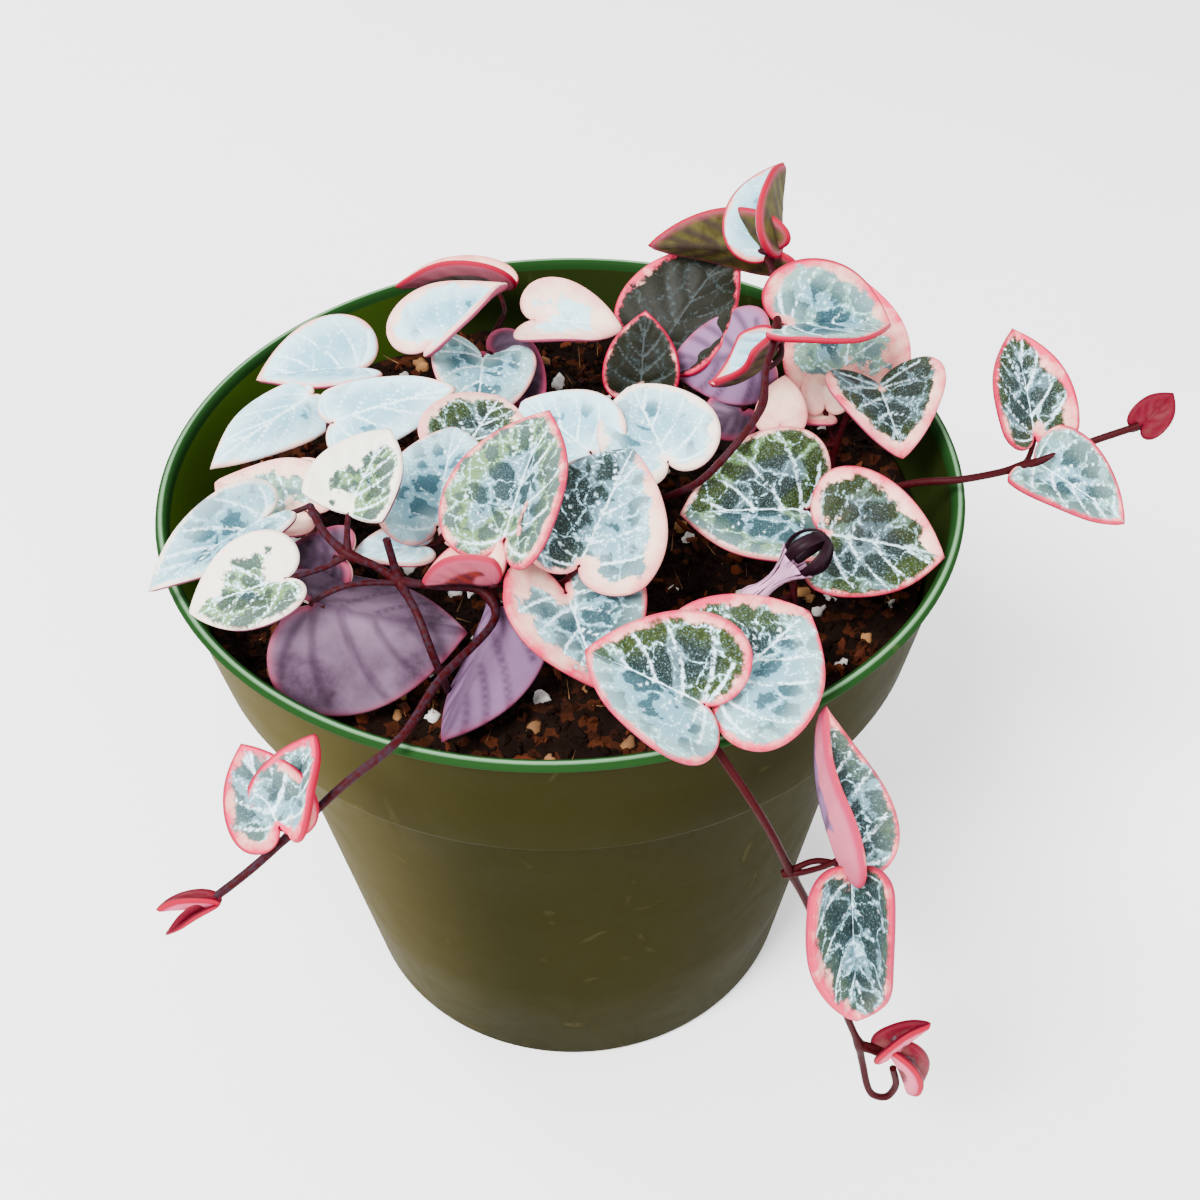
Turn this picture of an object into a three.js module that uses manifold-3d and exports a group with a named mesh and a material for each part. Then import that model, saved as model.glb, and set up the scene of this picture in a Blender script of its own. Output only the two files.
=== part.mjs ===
// A variegated string of hearts in a plastic nursery pot.
// Millimetres, +Z up. The origin is the middle of the pot's flat underside, and -Y is the front.
// Each leafy stem is one solid: a slim round stem, its leaf stalks and its heart-shaped leaves.

import * as THREE from 'three';
import { mergeVertices } from 'three/addons/utils/BufferGeometryUtils.js';
import Module from 'manifold-3d';

const wasm = await Module();
wasm.setup();

const GAP = 0.3; // clearance between pieces that touch

// The pot
const RIM_RADIUS = 55;
const POT_HEIGHT = 95;
const LIP_DEPTH = 1.4; // height of the rolled lip
const LIP_REACH = 1.1; // how far the lip stands out of the band
const BAND_FOOT = 74; // height at which the upper band steps in to the body
const BAND_RADIUS = 51; // outside, at the foot of the band
const BODY_RADIUS = 47.2; // outside, just under the band
const BASE_RADIUS = 37;
const WALL = 1.2;
const FLOOR = 1.6;
const DRAIN_HOLES = 6;
const DRAIN_RING = 25; // radius of the ring that the drain holes stand on
const DRAIN_RADIUS = 3.5;
const POT_SIDES = 44;

// The soil
const SOIL_TOP = 84;
const SOIL_SWELL = 0.55; // how far the surface rolls up and down
const SOIL_RINGS = 6;
const SOIL_SIDES = 36;
const LUMPS = 18; // perlite and bark bits that stand out of the surface
const ROOT_DEPTH = 8; // how far a stem stands in the soil
const HOLE_RADIUS = 1.5;

// Stems and leaves
const STEM_RADIUS = 0.9;
const STALK_RADIUS = 0.65;
const RUNNER_STEP = 6; // length of stem between rings of the tube
const LEAF_THICK = 1.1; // the leaves are fleshy
const LEAF_SHOULDER = 0.55; // widest half-width of a leaf, as a share of its length
const RING_SHARE = 0.55; // how far out from midrib to edge a blade's ring of points lies
const SMALL_LEAF = 11; // a leaf shorter than this needs no ring of points between midrib and edge

// A closed three.js geometry as a solid that can be joined and cut.
function solid(geometry) {
  const plain = geometry.clone();
  plain.deleteAttribute('normal');
  plain.deleteAttribute('uv');
  const merged = mergeVertices(plain, 1e-4);
  return new wasm.Manifold(new wasm.Mesh({
    numProp: 3,
    vertProperties: Float32Array.from(merged.attributes.position.array),
    triVerts: Uint32Array.from(merged.index.array),
  }));
}

// A solid as a three.js geometry.
function geometryOf(body) {
  const mesh = body.getMesh();
  const geometry = new THREE.BufferGeometry();
  geometry.setAttribute('position', new THREE.BufferAttribute(mesh.vertProperties, 3));
  geometry.setIndex(new THREE.BufferAttribute(mesh.triVerts, 1));
  geometry.computeVertexNormals();
  return geometry;
}

// The bodies of a list joined in one, without the specks that joining leaves where faces graze.
function joined(bodies) {
  const whole = bodies.reduce((sum, body) => sum.add(body));
  return whole.decompose().reduce((largest, body) => (body.volume() > largest.volume() ? body : largest));
}

// A turned piece: the profile is [radius, height] from the axis at the bottom to the axis at the top.
function turned(profile, sides) {
  const points = profile.map(([radius, height]) => new THREE.Vector2(radius, height));
  return new THREE.LatheGeometry(points, sides).rotateX(Math.PI / 2);
}

// A round bar along a curve, with as many sides as asked.
function bar(curve, radius, sides, step) {
  const section = new THREE.Shape();
  for (let side = 0; side < sides; side += 1) {
    const turn = (2 * Math.PI * side) / sides;
    const x = radius * Math.cos(turn);
    const y = radius * Math.sin(turn);
    if (side === 0) section.moveTo(x, y);
    else section.lineTo(x, y);
  }
  section.closePath();
  const steps = Math.max(2, Math.round(curve.getLength() / step));
  return solid(new THREE.ExtrudeGeometry(section, { steps, bevelEnabled: false, extrudePath: curve }));
}

function vector([x, y, z]) {
  return new THREE.Vector3(x, y, z);
}

// Half of a heart leaf's outline, from the notch at its base round the lobe to the tip.
// One unit is the length from notch to tip.
const lobe = new THREE.CubicBezierCurve(
  new THREE.Vector2(0, 0), new THREE.Vector2(0.02, -0.14),
  new THREE.Vector2(0.2, -0.25), new THREE.Vector2(0.38, -0.14),
);
const flank = new THREE.CubicBezierCurve(
  new THREE.Vector2(0.38, -0.14), new THREE.Vector2(0.64, 0.01),
  new THREE.Vector2(0.62, 0.56), new THREE.Vector2(0, 1),
);
const HALF_OUTLINE = [
  new THREE.Vector2(0, 0),
  ...[0.5, 1].map((t) => lobe.getPoint(t)),
  ...[0.3, 0.55, 0.78, 1].map((t) => flank.getPoint(t)),
];

// A leaf's own frame: along from base to tip, face out of its upper side, side to its right.
// roll is how far the blade is turned about its midrib from lying level across.
function leafFrame(leaf) {
  const base = vector(leaf.base);
  const along = vector(leaf.tip).sub(base);
  const chord = along.length();
  along.normalize();
  const level = new THREE.Vector3(0, 0, 1).addScaledVector(along, -along.z).normalize();
  const right = along.clone().cross(level);
  const roll = THREE.MathUtils.degToRad(leaf.roll ?? 0);
  const face = level.multiplyScalar(Math.cos(roll)).addScaledVector(right, Math.sin(roll));
  const side = along.clone().cross(face);
  return { base, chord, along, face, side };
}

// The point of a leaf's middle surface at across, along its outline's own units.
// fold lifts the two halves off the midrib, cup curls them on towards the edge,
// and arch bends the blade down towards its tip, all in degrees. deep lengthens the lobes behind the notch.
function leafPoint(frame, leaf, across, outlineAlong) {
  const along = outlineAlong < 0 ? outlineAlong * (leaf.deep ?? 1) : outlineAlong;
  const fold = THREE.MathUtils.degToRad(leaf.fold ?? 12);
  const cup = THREE.MathUtils.degToRad(leaf.cup ?? 10);
  const arch = THREE.MathUtils.degToRad(leaf.arch ?? 15) || 1e-6;
  const length = frame.chord * (arch / 2) / Math.sin(arch / 2);
  const start = arch / 2;
  const here = start - arch * along;
  const runs = (length / arch) * (Math.sin(start) - Math.sin(here));
  const rises = (length / arch) * (Math.cos(here) - Math.cos(start));
  const width = Math.abs(across) * length * (leaf.broad ?? 1);
  const reach = LEAF_SHOULDER * length * (leaf.broad ?? 1);
  const mean = fold + (cup / 2) * (width / reach);
  const out = width * Math.cos(mean) * Math.sign(across);
  const up = width * Math.sin(mean);
  const rise = frame.along.clone().multiplyScalar(-Math.sin(here))
    .addScaledVector(frame.face, Math.cos(here));
  return frame.base.clone()
    .addScaledVector(frame.along, runs)
    .addScaledVector(frame.face, rises)
    .addScaledVector(frame.side, out)
    .addScaledVector(rise, up);
}

// A leaf blade: two like faces, LEAF_THICK apart, on a middle surface of midrib, ring and edge.
function blade(leaf) {
  const frame = leafFrame(leaf);
  const points = [];
  const place = (across, along) => points.push(leafPoint(frame, leaf, across, along)) - 1;
  const last = HALF_OUTLINE.length - 1;
  const lobeEnd = 3; // outline points up to here fan out from the notch
  const notch = place(0, 0);
  const tip = place(0, 1);
  const ribAlong = (at) => (at <= lobeEnd ? 0 : HALF_OUTLINE[at].y * 0.9); // where a midrib point lies
  const rib = HALF_OUTLINE.map((_, at) => {
    if (at <= lobeEnd) return notch;
    return at === last ? tip : place(0, ribAlong(at));
  });
  const faces = [];
  const edge = [];
  for (const hand of [1, -1]) {
    const face = (a, b, c) => {
      if (a !== b && b !== c && a !== c) faces.push(hand > 0 ? [a, b, c] : [a, c, b]);
    };
    const rim = HALF_OUTLINE.map(({ x, y }, at) => {
      if (at === 0) return notch;
      return at === last ? tip : place(hand * x, y);
    });
    const ring = frame.chord < SMALL_LEAF ? rim : HALF_OUTLINE.map(({ x, y }, at) => {
      if (at === 0) return notch;
      if (at === last) return tip;
      return place(hand * x * RING_SHARE, THREE.MathUtils.lerp(ribAlong(at), y, RING_SHARE));
    });
    for (let at = 0; at < last; at += 1) {
      face(rib[at], ring[at], ring[at + 1]);
      face(rib[at], ring[at + 1], rib[at + 1]);
      face(ring[at], rim[at], rim[at + 1]);
      face(ring[at], rim[at + 1], ring[at + 1]);
      edge.push(hand > 0 ? [rim[at], rim[at + 1]] : [rim[at + 1], rim[at]]);
    }
  }
  return solid(thickened(points, faces, edge, LEAF_THICK));
}

// A closed skin from a middle surface: each point moved half the thickness to both sides.
function thickened(points, faces, edge, thick) {
  const normals = points.map(() => new THREE.Vector3());
  for (const [a, b, c] of faces) {
    const one = points[b].clone().sub(points[a]);
    const other = points[c].clone().sub(points[a]);
    const normal = one.cross(other);
    for (const corner of [a, b, c]) normals[corner].add(normal);
  }
  const skin = [];
  for (const hand of [1, -1]) {
    points.forEach((point, at) => {
      const moved = point.clone().addScaledVector(normals[at].clone().normalize(), (hand * thick) / 2);
      skin.push(moved.x, moved.y, moved.z);
    });
  }
  const count = points.length;
  const index = [];
  for (const [a, b, c] of faces) {
    index.push(a, b, c);
    index.push(a + count, c + count, b + count);
  }
  for (const [a, b] of edge) {
    index.push(a, a + count, b + count);
    index.push(a, b + count, b);
  }
  const geometry = new THREE.BufferGeometry();
  geometry.setAttribute('position', new THREE.Float32BufferAttribute(skin, 3));
  geometry.setIndex(index);
  return geometry;
}

// A leaf's stalk, from the stem to a little way into the blade along the midrib.
function stalk(leaf) {
  const { base, along, face, chord } = leafFrame(leaf);
  const start = vector(leaf.from);
  const reach = start.distanceTo(base);
  const bend = base.clone()
    .addScaledVector(along, -0.45 * reach)
    .addScaledVector(face, -0.25 * reach);
  const end = base.clone().addScaledVector(along, 0.08 * chord);
  const curve = new THREE.CatmullRomCurve3([start, start.clone().lerp(bend, 0.6), base, end]);
  return bar(curve, STALK_RADIUS, 4, 6);
}

// A swollen joint of a stem.
function knot(at, radius) {
  return solid(new THREE.OctahedronGeometry(radius, 0).translate(...at));
}

// A bud or a folded young leaf: a slim drop from base to tip.
function bud({ base, tip, radius }) {
  const length = vector(tip).distanceTo(vector(base));
  const profile = [[0, 0], [0.75, 0.12], [1, 0.4], [0.6, 0.75], [0, 1]]
    .map(([across, along]) => [across * radius, along * length]);
  const drop = turned(profile, 6);
  const turn = new THREE.Quaternion().setFromUnitVectors(
    new THREE.Vector3(0, 0, 1), vector(tip).sub(vector(base)).normalize(),
  );
  return solid(drop.applyQuaternion(turn).translate(...base));
}

// The stems, each with the points it runs through, chosen by hand from its root in the soil outwards.
const vines = [
  {
    // A cut stem whose two side shoots are the left cluster and the runner over the front left rim
    name: 'stem_left',
    runs: [
      [[-15, -34, SOIL_TOP - ROOT_DEPTH], [-15, -34, 84], [-15, -36.5, 89], [-16, -37.5, 95.5],
        [-17.8, -34, 99.5], [-20, -29, 100], [-21, -28, 106]],
      [[-20, -29, 100], [-23, -28, 102], [-26, -27, 103], [-29, -24, 104], [-31, -20, 105]],
      [[-20, -29, 100], [-15, -29.6, 99.5], [-10, -30.5, 99.3], [-8.5, -33.2, 98], [-15, -44, 98],
        [-19, -52, 97.5], [-25, -56.5, 95.5], [-30, -59, 92], [-36, -62, 88], [-41, -65, 86]],
    ],
    knots: [[-20, -29, 100], [-26, -27, 103], [-30, -59, 92], [-9.5, -31, 98.8]],
    buds: [
      { base: [-40, -65, 86], tip: [-46, -65, 86], radius: 1.1 },
      { base: [-40, -65, 86], tip: [-45, -67, 84], radius: 0.9 },
    ],
    leaves: [
      { name: 'white heart', from: [-26, -27, 103], base: [-25.6, -24.6, 107.3],
        tip: [-20.6, -15, 112.4], roll: 8, fold: 22, deep: 0.2, broad: 1 },
      { name: 'cream front', from: [-26, -27, 103], base: [-33, -31, 103], tip: [-45, -32, 99],
        roll: -28, fold: 20, broad: 0.95 },
      { name: 'silver over rim', from: [-31, -20, 105], base: [-37.3, -18, 101.5],
        tip: [-51, -27, 98], roll: -20, fold: 30, broad: 0.66 },
      { name: 'cream behind', from: [-31, -20, 105], base: [-33, -14, 99], tip: [-46, -6, 98],
        roll: -10, broad: 0.8 },
      { name: 'dark low', from: [-31, -20, 105], base: [-35, -5, 93.8], tip: [-42, 2.8, 92.4],
        roll: -10 },
      { name: 'small mauve', from: [-26, -27, 103], base: [-28, -22, 98], tip: [-36, -17, 95],
        roll: 130, broad: 0.8 },
      { name: 'large mauve', from: [-20, -29, 100], base: [-30.5, -32, 99.5],
        tip: [-12, -33.5, 95.5], roll: -164, fold: 35, cup: 10, broad: 1.28 },
      { name: 'long mauve', from: [-10, -30, 101], base: [-8.2, -31, 97], tip: [-15.6, -44.3, 88],
        roll: -168, fold: 35, cup: 20, deep: 0.2, broad: 0.8 },
      { name: 'runner left', from: [-30, -59, 92], base: [-32, -60, 93], tip: [-36, -53, 99],
        roll: -9, broad: 0.95 },
      { name: 'runner right', from: [-30, -59, 92], base: [-31, -59, 93], tip: [-28, -52, 99],
        roll: -5, fold: 35 },
    ],
  },
  {
    // The stem that hangs over the front right rim
    name: 'stem_trailer',
    runs: [
      [[10, -38, SOIL_TOP - ROOT_DEPTH], [10, -38, 84], [10, -40, 89], [13, -47, 97], [15, -54, 98],
        [19, -58, 93], [22, -59, 87], [25, -59, 79], [28, -59, 71], [31, -60, 60], [35, -60, 47],
        [37, -60, 41]],
      [[37, -60, 41], [41, -61, 39]],
      [[37, -60, 41], [38, -60, 36], [40, -61, 29], [42, -61, 28], [43, -61, 31], [42, -61, 36]],
    ],
    knots: [[14, -50, 99], [24, -59, 79], [37, -60, 41]],
    leaves: [
      { name: 'front left', from: [14, -50, 99], base: [14.6, -51.5, 100.5],
        tip: [1.8, -46.5, 104.8], roll: -28, fold: 32, broad: 1.3 },
      { name: 'front right', from: [14, -50, 99], base: [16.3, -50, 100], tip: [27.8, -40, 103],
        roll: 18, broad: 1.2 },
      { name: 'hanging upper', from: [24, -59, 79], base: [30, -60.5, 83.8], tip: [28, -52, 100.2],
        roll: 34, fold: 54, arch: -45, broad: 0.75 },
      { name: 'hanging lower', from: [24, -59, 79], base: [31, -62, 83], tip: [32.3, -70, 64.5],
        roll: 20, fold: 38, cup: 40, deep: 0.4, broad: 0.78 },
      { name: 'end lower', from: [37, -60, 41], base: [41.5, -61, 40], tip: [45, -61.5, 29.5],
        roll: 20, fold: 60, broad: 0.7 },
      { name: 'end upper', from: [37, -60, 41], base: [41.5, -61, 40], tip: [45.5, -61, 47.5],
        roll: 0, fold: 60, broad: 0.8 },
    ],
  },
  {
    // The stem that runs out over the right rim
    name: 'stem_right_runner',
    runs: [
      [[38, -5, SOIL_TOP - ROOT_DEPTH], [38, -5, 84], [41, -6, 91], [47, -9, 96], [53, -11, 98],
        [61, -10, 99], [70, -10, 103], [75, -10, 105]],
    ],
    knots: [[61, -10, 99]],
    buds: [{ base: [74, -10, 104.5], tip: [81, -6, 108], radius: 2.4 }],
    leaves: [
      { name: 'out upper', from: [61, -10, 99], base: [63.3, -6, 100.5], tip: [62.3, 8, 108.6],
        roll: -5, fold: 30, deep: 0.6, broad: 0.75 },
      { name: 'out lower', from: [61, -10, 99], base: [63, -9.5, 98.9], tip: [72, -20, 97],
        roll: 26, fold: 25, deep: 0.5, broad: 0.85 },
    ],
  },
  {
    // The short stem in the middle of the front, with the two upright marbled leaves
    name: 'stem_centre',
    runs: [
      [[-1, -20, SOIL_TOP - ROOT_DEPTH], [-1, -20, 84], [-1, -22, 90], [-2, -26, 97], [-5, -28, 101]],
    ],
    knots: [[-2, -26, 97], [-5, -28, 101]],
    leaves: [
      { name: 'marbled upright', from: [-5, -28, 101], base: [-7, -29, 106], tip: [-1, -16, 115],
        roll: -5, fold: 25, broad: 0.95 },
      { name: 'marbled round', from: [-2, -26, 97], base: [1.6, -31.5, 103.6],
        tip: [8.9, -16, 108.8], roll: 18, deep: 0.7, broad: 0.95 },
      { name: 'low front', from: [-2, -26, 97], base: [0, -32, 99.8], tip: [3.3, -44, 95.5],
        roll: -5, fold: 15, deep: 1.9, broad: 1.3 },
      { name: 'small folded', from: [-5, -28, 101], base: [-8.2, -32.4, 102.2], tip: [-17.2, -30.6, 101.4],
        roll: 15, fold: 58, deep: 0.5, broad: 1.1 },
    ],
  },
  {
    // The stem whose silver leaves stand behind the marbled ones
    name: 'stem_middle',
    runs: [
      [[-12, -8, SOIL_TOP - ROOT_DEPTH], [-12, -8, 84], [-12, -9, 90], [-14, -14, 96], [-15, -20, 99]],
      [[-12, -9, 90], [-5, -6, 93], [4, -7, 95], [12, -9, 98]],
    ],
    knots: [[-12, -9, 90], [4, -7, 95], [-15, -20, 99]],
    leaves: [
      { name: 'silver standing', from: [-14, -14, 96], base: [-16, -18, 99], tip: [-14, -1, 102],
        roll: 0, broad: 0.9 },
      { name: 'silver low', from: [-15, -20, 99], base: [-18.1, -19.5, 97.1], tip: [-27, -20.4, 97.1],
        roll: -25, fold: 20, broad: 0.7 },
      { name: 'dark peach edge', from: [-5, -6, 93], base: [-12.9, -3.4, 99.4], tip: [-7.9, 9.6, 99.4],
        roll: 10 },
      { name: 'pale mint', from: [4, -7, 95], base: [4, -5, 100], tip: [-5, 7, 100],
        roll: -20, broad: 0.9 },
      { name: 'silver white edge', from: [12, -9, 98], base: [14, -9, 101], tip: [10, 7, 102],
        roll: -10, broad: 0.95 },
    ],
  },
  {
    // The stem at the back left, with three pale leaves that lean on the rim
    name: 'stem_back_left',
    runs: [
      [[-28, 4, SOIL_TOP - ROOT_DEPTH], [-28, 4, 84], [-29, 4, 90], [-32, 6, 96], [-32, 10, 98],
        [-29, 18, 97]],
    ],
    knots: [[-32, 6, 96], [-29, 18, 97]],
    leaves: [
      { name: 'pale broad', from: [-32, 6, 96], base: [-31.2, 4.5, 99.5], tip: [-14, 8, 102],
        roll: 20, fold: -8, cup: 0, deep: 0.5, broad: 0.66 },
      { name: 'pale left', from: [-32, 10, 98], base: [-34.7, 11.5, 99.1], tip: [-47.5, -2, 97.5],
        roll: -15, fold: -12, cup: 0, deep: 0.4, broad: 0.55 },
      { name: 'pale back left', from: [-29, 18, 97], base: [-29, 21, 97], tip: [-44, 19, 97],
        roll: -15, fold: 30 },
    ],
  },
  {
    // The stem at the back, with one leaf over the rim and four around it
    name: 'stem_back',
    runs: [
      [[-12, 26, SOIL_TOP - ROOT_DEPTH], [-12, 26, 84], [-11, 27, 90], [-10, 30, 95], [-8, 34, 97]],
    ],
    knots: [[-11, 27, 90], [-10, 30, 95]],
    leaves: [
      { name: 'silver pink edge', from: [-11, 27, 90], base: [-18, 20, 101], tip: [-7, 32, 104],
        roll: -15, fold: 25 },
      { name: 'pink cup', from: [-10, 30, 95], base: [-3, 26, 101], tip: [10, 23, 101],
        roll: 22, cup: 40, broad: 0.9 },
      { name: 'back rim', from: [-8, 34, 97], base: [-9, 40, 98], tip: [-25, 41, 99],
        roll: 25, fold: 30, cup: 20, broad: 0.8 },
      { name: 'mauve under cup', from: [-11, 27, 90], base: [-10, 24, 97], tip: [-2, 17, 93],
        roll: -150 },
      { name: 'green silver', from: [-11, 27, 90], base: [-11, 23, 97], tip: [-12, 8, 95],
        roll: -13 },
    ],
  },
  {
    // The tall stem that arches up at the right, with the highest pair of leaves
    name: 'stem_arch',
    runs: [
      [[8, -4, SOIL_TOP - ROOT_DEPTH], [8, -4, 86], [10, -6, 91], [14, -11, 97], [18, -14, 102],
        [23, -12, 107], [26, -8, 109], [27, -3, 111], [29, 3, 113], [30, 12, 114], [30, 20, 114]],
    ],
    knots: [[26, -7, 108], [29, 3, 113], [30, 20, 114]],
    leaves: [
      { name: 'top left', from: [30, 20, 114], base: [30, 19.6, 115.1], tip: [14, 30, 110.9],
        roll: 80, fold: 15, broad: 0.55 },
      { name: 'top right', from: [30, 20, 114], base: [31.8, 21, 115], tip: [33, 30, 123],
        roll: -48, fold: 60, broad: 1.3 },
      { name: 'folded pale', from: [27, -2, 110], base: [30, 6, 109.3], tip: [20.3, 3.8, 104.3],
        roll: -5, fold: 60, arch: -100, broad: 0.8 },
      { name: 'big marbled', from: [29, 3, 113], base: [30.7, 5, 112.3], tip: [45, 6, 111],
        roll: 30, fold: 45, deep: 1.2, broad: 1.2 },
    ],
  },
  {
    // The stem at the back right, with two dark leaves and two that show their undersides
    name: 'stem_back_right',
    runs: [
      [[20, 20, SOIL_TOP - ROOT_DEPTH], [20, 20, 84], [19, 20, 90], [17, 20, 96]],
    ],
    knots: [[17, 20, 96]],
    leaves: [
      { name: 'dark red edge', from: [17, 20, 96], base: [16, 22, 99], tip: [27, 31, 110],
        roll: 10 },
      { name: 'dark pink edge', from: [17, 20, 96], base: [12, 14, 97], tip: [13, 20, 106],
        roll: 0 },
      { name: 'low mauve', from: [20, 20, 88], base: [27, 12, 94], tip: [20, 9, 93],
        roll: 134 },
      { name: 'standing mauve', from: [19, 20, 90], base: [28, 13, 103], tip: [16, 17, 98],
        roll: 126 },
    ],
  },
  {
    // The stem by the right rim, with two big cream leaves, three small peach ones and a stub
    name: 'stem_right_rim',
    runs: [
      [[40, 8, SOIL_TOP - ROOT_DEPTH], [40, 8, 84], [40, 8, 90], [42, 8, 97], [44, 9, 100]],
    ],
    knots: [[40, 8, 90], [42, 8, 97]],
    buds: [{ base: [44, 9, 99], tip: [48, 12, 102], radius: 1.3 }],
    leaves: [
      { name: 'big cream', from: [42, 8, 97], base: [41, 12, 98], tip: [44, 24, 108],
        roll: 0, broad: 1.1 },
      { name: 'pink bowl', from: [42, 8, 97], base: [45, 7, 100], tip: [46, -6, 98],
        roll: 5, fold: 25, cup: 10, broad: 1.3 },
      { name: 'peach left', from: [40, 8, 90], base: [31, 5, 96], tip: [32, 10, 101],
        roll: 0 },
      { name: 'peach right', from: [40, 8, 90], base: [38, 9, 96], tip: [38, 15, 100],
        roll: 0 },
      { name: 'peach low', from: [40, 8, 90], base: [38, 10, 94], tip: [30, 9, 94],
        roll: 0 },
    ],
  },
  {
    // The stem at the right front, with two broad dark leaves that lie low
    name: 'stem_right_front',
    runs: [
      [[30, -22, SOIL_TOP - ROOT_DEPTH], [30, -22, 84], [30, -20, 90], [31, -17, 95]],
    ],
    knots: [[31, -17, 95]],
    leaves: [
      { name: 'dark broad', from: [31, -17, 95], base: [31.6, -14.3, 96.5], tip: [15.2, -14.3, 96.5],
        roll: -30, fold: 28, broad: 1.25 },
      { name: 'dark long', from: [31, -17, 95], base: [33, -21, 98], tip: [48, -24, 96],
        roll: 30, deep: 0.8, broad: 1.1 },
    ],
  },
];

// A leafy stem as one solid.
function leafyStem(vine) {
  const bodies = vine.runs.map((points) => bar(
    new THREE.CatmullRomCurve3(points.map(vector)), STEM_RADIUS, 5, RUNNER_STEP,
  ));
  for (const at of vine.knots) bodies.push(knot(at, 1.5 * STEM_RADIUS));
  for (const shape of vine.buds ?? []) bodies.push(bud(shape));
  for (const leaf of vine.leaves) {
    bodies.push(blade(leaf));
    bodies.push(stalk(leaf));
  }
  return joined(bodies);
}

// The pot: a thin tapered body, a wider upper band, a rolled lip, and drain holes round the floor.
function pot() {
  const shell = solid(turned([
    [0, 0], [BASE_RADIUS - 1, 0], [BASE_RADIUS, 1],
    [BODY_RADIUS, BAND_FOOT - 0.5], [BAND_RADIUS - 0.3, BAND_FOOT], [BAND_RADIUS, BAND_FOOT + 0.6],
    [RIM_RADIUS - LIP_REACH, POT_HEIGHT - LIP_DEPTH], [RIM_RADIUS, POT_HEIGHT - LIP_DEPTH / 2],
    [RIM_RADIUS - 0.8, POT_HEIGHT], [RIM_RADIUS - LIP_REACH - 0.8, POT_HEIGHT - LIP_DEPTH + 0.3],
    [BAND_RADIUS - WALL, BAND_FOOT + 1.5], [BODY_RADIUS - WALL, BAND_FOOT - 0.5],
    [BASE_RADIUS - WALL, FLOOR], [0, FLOOR],
  ], POT_SIDES));
  return drainHoles().reduce((body, hole) => body.subtract(hole), shell);
}

function drainHoles() {
  const holes = [];
  for (let at = 0; at < DRAIN_HOLES; at += 1) {
    const turn = (2 * Math.PI * at) / DRAIN_HOLES;
    const hole = new THREE.CylinderGeometry(DRAIN_RADIUS, DRAIN_RADIUS, 3 * FLOOR, 12).rotateX(Math.PI / 2);
    holes.push(solid(hole.translate(DRAIN_RING * Math.cos(turn), DRAIN_RING * Math.sin(turn), FLOOR / 2)));
  }
  return holes;
}

// The radius of the soil's side at a height, GAP clear of the pot's wall.
function soilRadius(height) {
  const rise = (height - FLOOR) / (BAND_FOOT - 0.5 - FLOOR);
  if (rise <= 1) return THREE.MathUtils.lerp(BASE_RADIUS, BODY_RADIUS, rise) - WALL - GAP;
  const band = (height - BAND_FOOT) / (POT_HEIGHT - BAND_FOOT);
  return THREE.MathUtils.lerp(BAND_RADIUS, RIM_RADIUS - LIP_REACH, band) - WALL - GAP;
}

// The soil's surface rolls in slow waves.
function soilLevel(x, y) {
  const waves = Math.sin(0.23 * x + 1.1) * Math.cos(0.19 * y - 0.4) + 0.6 * Math.sin(0.41 * y + 0.3 * x);
  return SOIL_TOP + SOIL_SWELL * waves;
}

// A seeded draw between 0 and 1, the same on each run.
function seeded(seed) {
  let state = seed;
  return () => {
    state = (state * 16807) % 2147483647;
    return state / 2147483647;
  };
}

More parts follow.
